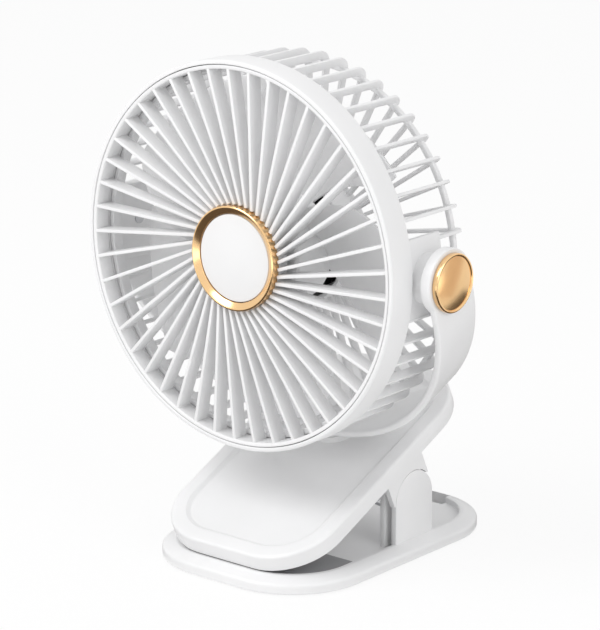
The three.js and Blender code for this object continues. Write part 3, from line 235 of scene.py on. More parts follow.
def yoke_place(yoke, clip):
    return jaw_place() @ Matrix.Translation((0, yoke["axis_behind"], clip["jaw_top"]))


# ---------------------------------------------------------------- outlines

def rounded(points, radii, closed=True, steps=4):
    """A 2D outline with its corners rounded."""
    if isinstance(radii, (int, float)):
        radii = [radii] * len(points)
    out = []
    last = len(points) - 1
    for i, (point, radius) in enumerate(zip(points, radii)):
        corner = Vector(point)
        if radius <= 0 or (not closed and i in (0, last)):
            out.append(corner)
            continue
        before = Vector(points[i - 1]) - corner
        after = Vector(points[(i + 1) % len(points)]) - corner
        limit = min(before.length, after.length) * 0.49
        before.normalize()
        after.normalize()
        angle = math.acos(max(-1.0, min(1.0, before.dot(after))))
        if angle > math.pi - 0.02:
            out.append(corner)
            continue
        reach = min(radius / math.tan(angle / 2), limit)
        centre = corner + (before + after).normalized() * (reach / math.cos(angle / 2))
        start = corner + before * reach - centre
        end = corner + after * reach - centre
        first = math.atan2(start.y, start.x)
        sweep = (math.atan2(end.y, end.x) - first + math.pi) % (2 * math.pi) - math.pi
        for k in range(steps + 1):
            turn = first + sweep * k / steps
            out.append(centre + Vector((math.cos(turn), math.sin(turn))) * start.length)
    return out


def round_rect(width, length_, radius, arc=12, middle=(0, 0)):
    """A rectangle with round corners, as a loop of 2D points about its middle."""
    points = []
    for sx, sy, start in ((1, 1, 0), (-1, 1, 90), (-1, -1, 180), (1, -1, 270)):
        for k in range(arc + 1):
            turn = math.radians(start + 90 * k / arc)
            points.append((
                sx * (width / 2 - radius) + radius * math.cos(turn) + middle[0],
                sy * (length_ / 2 - radius) + radius * math.sin(turn) + middle[1],
            ))
    return points


def round_arc(radius, first, last, steps, middle=(0, 0)):
    """Points along an arc, between two angles."""
    turns = [first + (last - first) * k / steps for k in range(steps + 1)]
    return [(middle[0] + radius * math.cos(turn), middle[1] + radius * math.sin(turn)) for turn in turns]


def section(inner, outer, low, high):
    """A ring's section: four corners of (radius, distance)."""
    return [(inner, low), (outer, low), (outer, high), (inner, high)]


def laid(axis, a, b, along):
    """A point of a 2D outline, at a distance along an axis."""
    return {"X": (along, a, b), "Y": (a, along, b), "Z": (a, b, along)}[axis]


# ---------------------------------------------------------------- meshes

def added(name, data):
    """A new object in the scene."""
    item = bpy.data.objects.new(name, data)
    bpy.context.scene.collection.objects.link(item)
    return item


def mesh_of(bm, place=None, flip_check=True):
    """Turns a bmesh into a tidy mesh with its place in its vertices."""
    bmesh.ops.remove_doubles(bm, verts=bm.verts, dist=1e-5)
    if flip_check:
        bmesh.ops.recalc_face_normals(bm, faces=bm.faces)
    mesh = bpy.data.meshes.new("piece")
    bm.to_mesh(mesh)
    bm.free()
    if place is not None:
        mesh.transform(place)
    return mesh


def loft(loops):
    """Joins loops of equal length with quads and closes both ends."""
    bm = bmesh.new()
    rows = [[bm.verts.new(point) for point in loop] for loop in loops]
    for lower, upper in zip(rows, rows[1:]):
        count = len(lower)
        for i in range(count):
            j = (i + 1) % count
            bm.faces.new((lower[i], lower[j], upper[j], upper[i]))
    bm.faces.new(list(reversed(rows[0])))
    bm.faces.new(rows[-1])
    return bm


def turned(profile, segments=128, axis="Y", side=1):
    """A profile of (radius, distance) points turned about an axis."""
    bm = bmesh.new()
    rows = []
    for radius, distance in profile:
        row = []
        for k in range(1 if radius < 1e-6 else segments):
            turn = 2 * math.pi * k / segments
            row.append(bm.verts.new(laid(axis, radius * math.cos(turn), radius * math.sin(turn), side * distance)))
        rows.append(row)
    pairs = list(zip(rows, rows[1:]))
    if profile[0][0] > 1e-6:
        pairs.append((rows[-1], rows[0]))
    for one, two in pairs:
        for i in range(segments):
            j = (i + 1) % segments
            quad = [one[i % len(one)], one[j % len(one)], two[j % len(two)], two[i % len(two)]]
            corners = list(dict.fromkeys(quad))
            if len(corners) > 2:
                bm.faces.new(corners)
    return bm


def plate(width, length_, radius, centre, steps, fillets, arc=12):
    """A rounded plate whose side follows (inset, height) steps with rounded corners."""
    loops = []
    for x, z in rounded([(-inset, height) for inset, height in steps], fillets, False):
        loop = round_rect(width + 2 * x, length_ + 2 * x, max(radius + x, 0.05), arc)
        loops.append([(px, py + centre, z) for px, py in loop])
    return loft(loops)


def prism(outline, low, high, axis="X"):
    """A 2D outline given a thickness along an axis."""
    return loft([[laid(axis, a, b, along) for a, b in outline] for along in (low, high)])


def slab(outline, side, outer, thickness):
    """A 2D outline as a wall on one side of the middle, from its outer face inwards."""
    return prism(outline, *sorted((side * outer, side * (outer - thickness))), "X")


def moved(bm, shift):
    bmesh.ops.translate(bm, verts=bm.verts, vec=shift)
    return bm


def evaluated(item):
    """The bmesh that an object's modifiers make of it; the object itself goes."""
    graph = bpy.context.evaluated_depsgraph_get()
    mesh = bpy.data.meshes.new_from_object(item.evaluated_get(graph))
    out = bmesh.new()
    out.from_mesh(mesh)
    bpy.data.objects.remove(item)
    bpy.data.meshes.remove(mesh)
    return out


def modified(bm, *modifiers):
    """Runs modifiers over a bmesh and gives back a bmesh."""
    temporary = added("temporary", mesh_of(bm))
    for kind, settings in modifiers:
        modifier = temporary.modifiers.new(kind.title(), kind)
        for key, value in settings.items():
            setattr(modifier, key, value)
    return evaluated(temporary)


def bevelled(bm, width, segments=2, angle=35):
    return modified(bm, ("BEVEL", {
        "width": width,
        "segments": segments,
        "limit_method": "ANGLE",
        "angle_limit": math.radians(angle),
        "use_clamp_overlap": True,
    }))


def combined(bm, others, operation):
    """Joins or cuts with exact booleans."""
    helpers = [added("helper", mesh_of(other)) for other in others]
    out = modified(bm, *[
        ("BOOLEAN", {"object": helper, "operation": operation, "solver": "EXACT"}) for helper in helpers
    ])
    for helper in helpers:
        bpy.data.objects.remove(helper)
    return out


def merged(*parts):
    """One bmesh that holds several separate shells."""
    out = bmesh.new()
    for part in parts:
        mesh = mesh_of(part)
        out.from_mesh(mesh)
        bpy.data.meshes.remove(mesh)
    return out


def rod(radius, start, end, axis="Z", at=(0, 0), edge=0.0, segments=48):
    """A round bar with rounded ends, along an axis through the point at."""
    profile = rounded(section(0, radius, start, end), [0, edge, edge, 0], False, 3)
    return moved(turned(profile, segments, axis), laid(axis, *at, 0))


def sweep(path, radius, sides):
    """A wire along a path, with closed ends."""
    loops = []
    normal = None
    for i, point in enumerate(path):
        ahead = path[min(i + 1, len(path) - 1)] - path[max(i - 1, 0)]
        ahead.normalize()
        if normal is None:
            normal = ahead.orthogonal().normalized()
        normal = (normal - ahead * normal.dot(ahead)).normalized()
        other = ahead.cross(normal)
        turns = [2 * math.pi * k / sides for k in range(sides)]
        loops.append([point + radius * (normal * math.cos(turn) + other * math.sin(turn)) for turn in turns])
    return loft(loops)


# ---------------------------------------------------------------- pieces in the scene

def piece(name, bm, place, look, body, stands_for, angle=32):
    """Adds a finished piece that rides on a body, or on none yet, and stands for CAD nodes."""
    mesh = mesh_of(bm, place)
    mesh.name = name
    mesh.materials.clear()
    mesh.materials.append(finish(look))
    mesh.polygons.foreach_set("use_smooth", [True] * len(mesh.polygons))
    mesh.set_sharp_from_angle(angle=math.radians(angle))
    item = added(name, mesh)
    if body:
        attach(item, body)
    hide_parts(*stands_for)
    return item


def dress(node, material):
    """Gives a kept CAD node its finish."""
    item = frame["nodes"][node]
    item.data.materials.clear()
    item.data.materials.append(material)


# ---------------------------------------------------------------- geometry nodes

def tree_with(name, inputs):
    """An empty geometry tree with named inputs."""
    tree = bpy.data.node_groups.new(name, "GeometryNodeTree")
    face = tree.interface
    face.new_socket("Geometry", in_out="INPUT", socket_type="NodeSocketGeometry")
    for label, kind, value in inputs:
        socket = face.new_socket(label, in_out="INPUT", socket_type=kind)
        if value is not None:
            socket.default_value = value
    face.new_socket("Geometry", in_out="OUTPUT", socket_type="NodeSocketGeometry")
    return tree


def math_node(tree, operation, first, second=None):
    node = tree.nodes.new("ShaderNodeMath")
    node.operation = operation
    for socket, value in zip(node.inputs, (first, second)):
        if isinstance(value, bpy.types.NodeSocket):
            tree.links.new(value, socket)
        elif value is not None:
            socket.default_value = value
    return node.outputs[0]


def turned_copies_tree():
    """Copies a piece round the Y axis, keeping those inside or outside a band of heights."""
    tree = tree_with("Turned Copies", [
        ("Count", "NodeSocketInt", 12),
        ("First Angle", "NodeSocketFloat", 0.0),
        ("Radius", "NodeSocketFloat", 1.0),
        ("Band Half Height", "NodeSocketFloat", 0.0),
        ("Keep Inside", "NodeSocketBool", False),
        ("Material", "NodeSocketMaterial", None),
    ])
    nodes, links = tree.nodes, tree.links
    source = nodes.new("NodeGroupInput").outputs
    target = nodes.new("NodeGroupOutput").inputs
    points = nodes.new("GeometryNodePoints")
    links.new(source["Count"], points.inputs["Count"])
    index = nodes.new("GeometryNodeInputIndex").outputs[0]
    step = math_node(tree, "DIVIDE", 2 * math.pi, source["Count"])
    angle = math_node(tree, "ADD", math_node(tree, "MULTIPLY", index, step), source["First Angle"])
    height = math_node(tree, "MULTIPLY", math_node(tree, "SINE", angle), source["Radius"])
    height = math_node(tree, "ABSOLUTE", height)
    inside = math_node(tree, "LESS_THAN", height, source["Band Half Height"])
    unwanted = math_node(tree, "COMPARE", inside, source["Keep Inside"])
    unwanted.node.inputs[2].default_value = 0.1
    drop = nodes.new("GeometryNodeDeleteGeometry")
    links.new(math_node(tree, "SUBTRACT", 1.0, unwanted), drop.inputs["Selection"])
    turn = nodes.new("ShaderNodeCombineXYZ")
    links.new(math_node(tree, "MULTIPLY", angle, -1.0), turn.inputs["Y"])
    store = nodes.new("GeometryNodeStoreNamedAttribute")
    store.data_type = "FLOAT_VECTOR"
    store.inputs["Name"].default_value = "turn"
    links.new(points.outputs[0], store.inputs["Geometry"])
    links.new(turn.outputs[0], store.inputs["Value"])
    links.new(store.outputs[0], drop.inputs["Geometry"])
    named = nodes.new("GeometryNodeInputNamedAttribute")
    named.data_type = "FLOAT_VECTOR"
    named.inputs["Name"].default_value = "turn"
    copies = nodes.new("GeometryNodeInstanceOnPoints")
    links.new(drop.outputs[0], copies.inputs["Points"])
    links.new(source["Geometry"], copies.inputs["Instance"])
    links.new(named.outputs[0], copies.inputs["Rotation"])
    finish_tree(tree, copies.outputs[0], source["Material"], target[0])
    return tree


def placed_copies_tree():
    """Stands copies of a piece on the points of a mesh, turned by a seeded angle."""
    tree = tree_with("Placed Copies", [
        ("Piece", "NodeSocketObject", None),
        ("Seed", "NodeSocketInt", 3),
        ("Tilt", "NodeSocketVector", None),
        ("Material", "NodeSocketMaterial", None),
    ])
    nodes, links = tree.nodes, tree.links
    source = nodes.new("NodeGroupInput").outputs
    target = nodes.new("NodeGroupOutput").inputs
    shape = nodes.new("GeometryNodeObjectInfo")
    links.new(source["Piece"], shape.inputs["Object"])
    chance = nodes.new("FunctionNodeRandomValue")
    chance.data_type = "FLOAT"
    chance.inputs["Max"].default_value = math.pi
    links.new(source["Seed"], chance.inputs["Seed"])
    spin = nodes.new("ShaderNodeCombineXYZ")
    links.new(chance.outputs[1], spin.inputs["Z"])
    copies = nodes.new("GeometryNodeInstanceOnPoints")
    links.new(source["Geometry"], copies.inputs["Points"])
    links.new(shape.outputs["Geometry"], copies.inputs["Instance"])
    links.new(source["Tilt"], copies.inputs["Rotation"])
    twist = nodes.new("GeometryNodeRotateInstances")
    links.new(copies.outputs[0], twist.inputs["Instances"])
    links.new(spin.outputs[0], twist.inputs["Rotation"])
    finish_tree(tree, twist.outputs[0], source["Material"], target[0])
    return tree


def finish_tree(tree, geometry, material, target):
    real = tree.nodes.new("GeometryNodeRealizeInstances")
    paint = tree.nodes.new("GeometryNodeSetMaterial")
    tree.links.new(geometry, real.inputs[0])
    tree.links.new(real.outputs[0], paint.inputs["Geometry"])
    tree.links.new(material, paint.inputs["Material"])
    tree.links.new(paint.outputs[0], target)


def grown(bm, tree, values):
    """Runs a geometry tree over a bmesh and gives back a plain bmesh."""
    base = added("grown", mesh_of(bm, flip_check=False))
    modifier = base.modifiers.new("Copies", "NODES")
    modifier.node_group = tree
    for item in tree.interface.items_tree:
        if item.in_out == "INPUT" and item.name in values:
            modifier[item.identifier] = values[item.name]
    base.update_tag()
    return evaluated(base)


# ---------------------------------------------------------------- finishes

def noise(tree, place, scale, detail):
    node = tree.nodes.new("ShaderNodeTexNoise")
    node.inputs["Scale"].default_value = scale
    node.inputs["Detail"].default_value = detail
    tree.links.new(place, node.inputs["Vector"])
    return node.outputs["Fac"]


def surface(name, tint, roughness, metallic=0.0, grain=0.0004, relief=0.02, patch=0.03, shift=0.02, **settings):
    """A moulded, rubbery or metal finish with fine grain and slow changes of tone."""
    material = bpy.data.materials.new(name)
    material.use_nodes = True
    nodes, links = material.node_tree.nodes, material.node_tree.links
    shader = nodes["Principled BSDF"]
    shader.inputs["Metallic"].default_value = metallic
    for key, value in settings.items():
        shader.inputs[key.replace("_", " ")].default_value = value
    place = nodes.new("ShaderNodeTexCoord").outputs["Object"]
    fine = noise(material.node_tree, place, 1.0 / grain, 3.0)
    slow = noise(material.node_tree, place, 1.0 / patch, 2.0)
    tone = nodes.new("ShaderNodeValToRGB")
    low = [max(0.0, channel * (1 - shift)) for channel in tint]
    high = [min(1.0, channel * (1 + shift)) for channel in tint]
    tone.color_ramp.elements[0].color = (*low, 1)
    tone.color_ramp.elements[0].position = 0.3
    tone.color_ramp.elements[1].color = (*high, 1)
    tone.color_ramp.elements[1].position = 0.7
    links.new(slow, tone.inputs["Fac"])
    links.new(tone.outputs["Color"], shader.inputs["Base Color"])
    sheen = nodes.new("ShaderNodeMapRange")
    sheen.inputs["To Min"].default_value = roughness * 0.9
    sheen.inputs["To Max"].default_value = roughness * 1.12
    links.new(fine, sheen.inputs["Value"])
    links.new(sheen.outputs["Result"], shader.inputs["Roughness"])
    bump = nodes.new("ShaderNodeBump")
    bump.inputs["Strength"].default_value = relief
    bump.inputs["Distance"].default_value = grain
    links.new(fine, bump.inputs["Height"])
    links.new(bump.outputs["Normal"], shader.inputs["Normal"])
    return material


# For each finish: the material's name, the CAD's material slot, the roughness and the other settings.
FINISHES = {
    "shell": ("White Moulded Plastic", "white_plastic", 0.38, {"relief": 0.03, "IOR": 1.5}),
    # The blade finish is a lighter copy of the shell's white plastic: painted light inside the cage.
    "blade": ("White Blade Plastic", "blade_plastic", 0.42, {"relief": 0.03, "IOR": 1.5}),
    "badge": ("Smooth Badge Plastic", "badge_plastic", 0.3, {"relief": 0.01, "IOR": 1.5}),
    "gold": ("Polished Gold Trim", "gold_metal", 0.16,
             {"metallic": 1.0, "grain": 0.0003, "relief": 0.012, "patch": 0.012, "shift": 0.05}),
    "pad": ("Grey Silicone", "grey_rubber", 0.72, {"grain": 0.0005, "relief": 0.12, "shift": 0.05}),
    "rubber": ("Dark Rubber", "dark_rubber", 0.8, {"grain": 0.0006, "relief": 0.15, "shift": 0.1}),
    "steel": ("Plated Steel", "steel", 0.3, {"metallic": 1.0, "grain": 0.0002, "relief": 0.05, "shift": 0.05}),
    "motor": ("Dark Motor Can", "dark_metal", 0.45,
              {"metallic": 0.6, "grain": 0.0003, "relief": 0.05, "shift": 0.1}),
    "board": ("Green Circuit Board", None, 0.5, {"grain": 0.0008, "relief": 0.1, "shift": 0.15}),
    "wrap": ("Blue Battery Wrap", None, 0.4, {"grain": 0.002, "relief": 0.1, "shift": 0.08}),
    "lens": ("Pale Lens", "lens_plastic", 0.15, {"Transmission_Weight": 0.5, "IOR": 1.49}),
}
MADE = {}


def finish(key):
    """The named finish, made once from the scene's colours."""
    if key not in MADE:
        name, _, roughness, settings = FINISHES[key]
        tint = getattr(bpy.context.scene.clip_fan_colours, key)
        MADE[key] = surface(name, tint, roughness, **settings)
    return MADE[key]


class PieceOperator(bpy.types.Operator):
    """Shared by the operators that add pieces"""

    def execute(self, context):
        for name in ("head", "cage", "rotor", "yoke", "clip"):
            setattr(self, name, sizes(getattr(context.scene, "clip_fan_" + name)))
        self.build()
        return {"FINISHED"}


# ---------------------------------------------------------------- stage

FLOOR_HALF = 6.0
FLOOR_GLOW = 0.88  # share of the floor's look that is plain white
SLOT_MIDDLE, SLOT_HALF_WIDTH, SLOT_HALF_DEPTH = 0.0563, 0.0195, 0.0052  # floor seen through the hanging slot
LAMP_TARGET = Vector((0, 0, 0.1))

# For each card, a painted reflection that only glossy rays see: its corners, the tone of a matt card (a painted dark or
# pale reflection) and the strength of a glowing one (a painted highlight).
PAINTED_REFLECTION_CARDS = {
    "table_card": ([(-0.26, -0.3, 0.002), (0.26, -0.3, 0.002), (0.26, 0.3, 0.002), (-0.26, 0.3, 0.002)], 0.12, 0),
    "rear_card": ([(0.40, 0.14, -0.10), (0.33, 0.20, -0.10), (0.21, 0.32, 0.22), (0.28, 0.26, 0.22)], 0.75, 0),
    "side_card": ([(0.55, 0.05, -0.2), (0.47, 0.14, -0.2), (0.38, 0.24, 0.05), (0.46, 0.15, 0.05)], 0, 2.2),
    "front_card": ([(-0.12, -0.42, 0.01), (0.24, -0.42, 0.01), (0.24, -0.42, 0.09), (-0.12, -0.42, 0.09)], 0, 2.6),
}


def facing(direction):
    """The turn that points a lamp or a camera along a direction."""
    return direction.to_track_quat("-Z", "Y").to_euler()

class CLIPFAN_OT_stage(bpy.types.Operator):
    """Adds the floor, the painted reflection cards, the lamps, the world and the camera"""
    bl_idname = "clip_fan.stage"
    bl_label = "Stage"

    def execute(self, context):
        self.floor(context)
        # Painted reflections and painted highlights for the gold trim, seen only in glossy rays
        for name, (corners, tone, painted_highlight_glow) in PAINTED_REFLECTION_CARDS.items():
            self.card(name, corners, tone, painted_highlight_glow)
        self.world(context)
        self.lamp("Key Lamp", (-0.5, -1.1, 1.25), (0.9, 0.9), 11.5)
        self.lamp("Side Lamp", (1.3, -0.3, 0.7), (0.7, 1.0), 4.2)
        self.camera(context)
        return {"FINISHED"}

    def seen(self, tree):
        """1 for rays from the eye, also by way of a reflection or glass."""
        path = tree.nodes.new("ShaderNodeLightPath").outputs
        straight = math_node(tree, "MAXIMUM", path["Is Camera Ray"], path["Is Glossy Ray"])
        return math_node(tree, "MAXIMUM", straight, path["Is Transmission Ray"])

    def sheet(self, name, corners):
        """A face with four corners and an empty material."""
        mesh = bpy.data.meshes.new(name)
        mesh.from_pydata(corners, [], [(0, 1, 2, 3)])
        material = bpy.data.materials.new(name.replace("_", " ").title())
        material.use_nodes = True
        material.node_tree.nodes.clear()
        mesh.materials.append(material)
        return added(name, mesh), material.node_tree

    def floor(self, context):
        """A floor that takes shadows and looks white, but stays in shadow under the hanging slot."""
        half = FLOOR_HALF
        corners = [(-half, -half, 0), (half, -half, 0), (half, half, 0), (-half, half, 0)]
        item, tree = self.sheet("studio_floor", corners)
        nodes, links = tree.nodes, tree.links
        matt = nodes.new("ShaderNodeBsdfDiffuse")
        matt.inputs["Color"].default_value = (*context.scene.clip_fan_colours.floor, 1)
        place = nodes.new("ShaderNodeSeparateXYZ")
        links.new(nodes.new("ShaderNodeTexCoord").outputs["Object"], place.inputs[0])
        across = math_node(tree, "ABSOLUTE", place.outputs["X"])
        along = math_node(tree, "ABSOLUTE", math_node(tree, "SUBTRACT", place.outputs["Y"], SLOT_MIDDLE))
        outside = math_node(tree, "MAXIMUM", math_node(tree, "GREATER_THAN", across, SLOT_HALF_WIDTH),
                            math_node(tree, "GREATER_THAN", along, SLOT_HALF_DEPTH))
        share = math_node(tree, "MULTIPLY", self.seen(tree), FLOOR_GLOW)
        mix = nodes.new("ShaderNodeMixShader")
        links.new(math_node(tree, "MULTIPLY", share, outside), mix.inputs[0])
        links.new(matt.outputs[0], mix.inputs[1])
        links.new(nodes.new("ShaderNodeEmission").outputs[0], mix.inputs[2])
        links.new(mix.outputs[0], nodes.new("ShaderNodeOutputMaterial").inputs["Surface"])

    def card(self, name, corners, tone, painted_highlight_glow):
        """A dark or glowing card that only shows in glossy reflections: a painted reflection or painted highlight on
        the shiny parts, not a lamp.
        """
        item, tree = self.sheet(name, corners)
        face = tree.nodes.new("ShaderNodeEmission" if painted_highlight_glow else "ShaderNodeBsdfDiffuse")
        face.inputs["Color"].default_value = (1, 0.97, 0.9, 1) if painted_highlight_glow else (tone, tone * 0.85, tone * 0.75, 1)
        if painted_highlight_glow:
            face.inputs["Strength"].default_value = painted_highlight_glow
        tree.links.new(face.outputs[0], tree.nodes.new("ShaderNodeOutputMaterial").inputs["Surface"])
        item.visible_camera = item.visible_diffuse = item.visible_shadow = item.visible_transmission = False

    def world(self, context):
        """White for the eye, dimmer as a light."""
        world = bpy.data.worlds.new("Studio World")
        context.scene.world = world
        world.use_nodes = True
        nodes, links = world.node_tree.nodes, world.node_tree.links
        back = nodes["Background"]
        strength = nodes.new("ShaderNodeMapRange")
        strength.inputs["To Min"].default_value = 0.66
        strength.inputs["To Max"].default_value = 1.0
        links.new(self.seen(world.node_tree), strength.inputs["Value"])
        back.inputs["Color"].default_value = (1, 1, 1, 1)
        links.new(strength.outputs["Result"], back.inputs["Strength"])

    def lamp(self, name, spot, size, power):
        light = bpy.data.lights.new(name, "AREA")
        light.shape = "RECTANGLE"
        light.size, light.size_y = size
        light.energy = power
        item = added(name, light)
        item.location = spot
        item.rotation_euler = facing(LAMP_TARGET - Vector(spot))

    def camera(self, context):
        """The camera that was fitted to the photograph."""
        lens = bpy.data.cameras.new("Photo Camera")
        lens.sensor_width = 36.0
        lens.lens = 185.12
        lens.clip_end = 50
        item = added("Photo Camera", lens)
        azimuth, elevation, distance = math.radians(39.82), math.radians(15.72), 1.2515
        target = Vector((-0.01102, 0, 0.08911))
        away = Vector((
            math.sin(azimuth) * math.cos(elevation),
            -math.cos(azimuth) * math.cos(elevation),
            math.sin(elevation),
        ))
        item.location = target + away * distance
        item.rotation_euler = facing(-away)
        context.scene.camera = item
        context.scene.view_settings.view_transform = "Standard"


# ---------------------------------------------------------------- fan head

class CLIPFAN_OT_bezel(PieceOperator):
    """Adds the front bezel ring"""
    bl_idname = "clip_fan.bezel"
    bl_label = "Front Bezel"

    def build(self):
        head = self.head
        outer = head["radius"]
        inner = outer - head["bezel_wall"]
        ledge = inner - head["bezel_wall"]
        step = head["grille_depth"] + head["groove"]
        profile = rounded([
            (inner, 0), (outer, 0), (outer, head["bezel_depth"]),
            (ledge, head["bezel_depth"]), (ledge, step), (inner, step),
        ], [0.35, 1.15, 0.5, 0.3, 0.3, 0.1], True, 5)
        piece("bezel_ring", turned(profile, 192), head_place(head), "shell", "head", ("front_bezel",))


class CLIPFAN_OT_grille(PieceOperator):
    """Adds the front grille: ring, hub and slanted ribs"""
    bl_idname = "clip_fan.grille"
    bl_label = "Front Grille"

    def build(self):
        head = self.head
        outer = head["radius"] - head["bezel_wall"] - head["groove"]
        inner = outer - head["ring_wall"]
        depth = head["grille_depth"]
        ring = turned(rounded([
            (inner, 0.3), (outer, 0.05), (outer, depth), (inner, depth),
        ], [0.5, 0.3, 0.2, 0.2], True, 4), 180)
        seat = head["hub_seat"]
        hub_r = head["hub_radius"] - 0.5
        hub = turned(rounded([
            (0, seat), (hub_r, seat), (hub_r, depth), (hub_r - 1.6, depth), (hub_r - 1.6, seat + 1.6), (0, seat + 1.6),
        ], [0, 0.2, 0.3, 0.3, 0.3, 0], False, 3), 96)
        def reach(radius):
            """How far along itself a rib, which misses the middle, meets a radius."""
            return math.sqrt(radius ** 2 - head["rib_offset"] ** 2)
        seat_edge = reach(head["hub_radius"] + head["groove"])
        root = reach(hub_r - 0.8)
        tip = reach(inner + head["ring_wall"] / 2)
        outline = [
            (seat_edge, 0.35), (tip, 0.35), (tip, depth - 0.2), (root, depth - 0.2), (root, seat), (seat_edge, seat),
        ]
        half = head["rib_thickness"] / 2
        rib = bevelled(moved(prism(outline, -half, half, "Z"), (0, 0, -head["rib_offset"])), 0.18, 3)
        ribs = grown(rib, turned_copies_tree(), {
            "Count": head["rib_count"], "First Angle": head["rib_first"], "Material": finish("shell"),
        })
        piece("grille_body", merged(ring, hub, ribs), head_place(head), "shell", "head", ("front_grille",))


class CLIPFAN_OT_hub_trim(PieceOperator):
    """Adds the dished gold ring and the bare badge"""
    bl_idname = "clip_fan.hub_trim"
    bl_label = "Hub Trim"

    def build(self):
        head = self.head
        seat = head["hub_seat"] - head["groove"]
        inner = head["badge_radius"] + head["groove"]
        outer = head["hub_radius"]
        ring = turned(rounded([
            (inner, seat), (inner, -0.6), (outer - 0.6, -2.0), (outer, -1.7), (outer, seat),
        ], [0.1, 0.22, 0.25, 0.25, 0.1], True, 4), 160)
        piece("hub_trim", ring, head_place(head), "gold", "head", ("hub_ring",))
        radius = head["badge_radius"]
        badge = turned(rounded(section(0, radius, -0.5, seat), [0, 0.35, 0.1, 0], False, 5), 128)
        piece("hub_badge_disc", badge, head_place(head), "badge", "head", ("hub_badge",))


class CLIPFAN_OT_cage(PieceOperator):
    """Adds the rear cage: fins, rings, side panels, tilt bosses and motor cup"""
    bl_idname = "clip_fan.cage"
    bl_label = "Rear Cage"

    def fin_outline(self, start):
        cage = self.cage
        outer, depth, corner = cage["radius"], cage["depth"], cage["corner"]
        inner = outer - cage["fin_width"]
        rear = depth - cage["bar_depth"]
        cup = cage["cup_radius"] - 0.9
        points = [(inner, start), (outer, start), (outer, depth), (cup, depth), (cup, rear), (inner, rear)]
        return rounded(points, [0, 0, corner, 0, 0, corner - cage["fin_width"] + 0.4], True, 7)

    def build(self):
        head, cage = self.head, self.cage
        front = head["bezel_depth"] + head["groove"]
        ring_r = head["radius"] - 2 * head["bezel_wall"] - head["groove"]
        ring_back = front - cage["ring_depth"]
        outer, depth = cage["radius"], cage["depth"]
        half = cage["fin_thickness"] / 2
        tree = turned_copies_tree()
        band = cage["panel_half"] - 2 * half
        common = {
            "Count": cage["fin_count"], "First Angle": cage["fin_first"], "Radius": outer,
            "Band Half Height": band, "Material": finish("shell"),
        }
        long_fin = bevelled(prism(self.fin_outline(front - 0.4), -half, half, "Z"), 0.3, 2)
        short_fin = bevelled(prism(self.fin_outline(cage["panel_end"] - 1), -half, half, "Z"), 0.3, 2)
        fins = grown(long_fin, tree, {**common, "Keep Inside": False})
        stubs = grown(short_fin, tree, {**common, "Keep Inside": True})
        ring = turned(rounded(section(ring_r - 2, ring_r, ring_back, front), 0.3, True, 2), 192)
        hoop_r = outer - cage["fin_width"] - head["groove"]
        hoop_end = depth - cage["hoop_back"]
        wide = cage["hoop_width"]
        hoop = turned(rounded(section(hoop_r - wide, hoop_r, hoop_end - wide, hoop_end), 0.6, True, 3), 192)
        parts = [fins, stubs, ring, hoop, self.cup()]
        for side in (1, -1):
            parts.append(self.panel(side, front))
            parts.append(self.boss(side))
        piece("rear_cage_body", merged(*parts), head_place(head), "shell", "head", ("rear_cage",))

    def cup(self):
        """The cup behind the motor, with three screw holes."""
        cage = self.cage
        outer, depth = cage["cup_radius"], cage["depth"]
        inner, floor, rim = outer - 1.8, depth - 2.2, depth - 13
        cup = turned(rounded([
            (0, floor), (inner, floor), (inner, rim), (outer, rim), (outer, depth + 0.8), (0, depth + 0.8),
        ], [0, 0.4, 0.4, 0.4, 0.7, 0], False, 3), 96)
        holes = [rod(SCREW_HOLE, depth - 0.1, depth + 2, "Y", at, 0, 32) for at in MOTOR_SCREWS]
        return combined(cup, holes, "DIFFERENCE")

    def panel(self, side, front):
        """A plain panel of the cage, where an arm of the yoke passes."""
        cage = self.cage
        outer = cage["radius"] - 0.2
        inner = outer - 2.6
        reach = math.asin(cage["panel_half"] / outer)
        steps = 16
        loops = []
        for k in range(steps + 1):
            turn = -reach + 2 * reach * k / steps
            loops.append([
                (side * r * math.cos(turn), depth, r * math.sin(turn))
                for r, depth in ((inner, front), (outer, front), (outer, cage["panel_end"]), (inner, cage["panel_end"]))
            ])
        return bevelled(loft(loops), 0.45, 3, 40)

    def boss(self, side):
        """A tilt boss from a side panel to the yoke, with a neck in the disc's bore."""
        outer, end = self.cage["boss_radius"], self.yoke["inner_radius"] - 1.2
        neck, shoulder = self.yoke["disc_bore"] - 0.2, end - 0.7
        profile = rounded([
            (0, 70.5), (outer, 70.5), (outer, shoulder), (neck, shoulder), (neck, end), (0, end),
        ], [0, 0, 0.7, 0.1, 0.1, 0], False, 4)
        return moved(turned(profile, 64, "X", side), (0, self.head["pivot_depth"], 0))


class CLIPFAN_OT_motor(PieceOperator):
    """Adds the motor can"""
    bl_idname = "clip_fan.motor"
    bl_label = "Motor"

    def build(self):
        radius = self.cage["motor_radius"]
        back = self.cage["depth"] - 2.5
        front = back - self.cage["motor_length"]
        profile = rounded([
            (0, front), (4, front), (4, front - 0.6), (6, front - 0.6), (6, front), (radius, front),
            (radius, back - 5), (radius - 0.5, back - 4.6), (radius - 0.5, back - 3.6), (radius, back - 3.2),
            (radius, back), (0, back),
        ], [0, 0.1, 0.1, 0.1, 0.1, 1.4, 0.1, 0.1, 0.1, 0.1, 0.9, 0], False, 3)
        can = turned(profile, 96)
        piece("motor_can", can, head_place(self.head), "motor", "head", ("motor",))


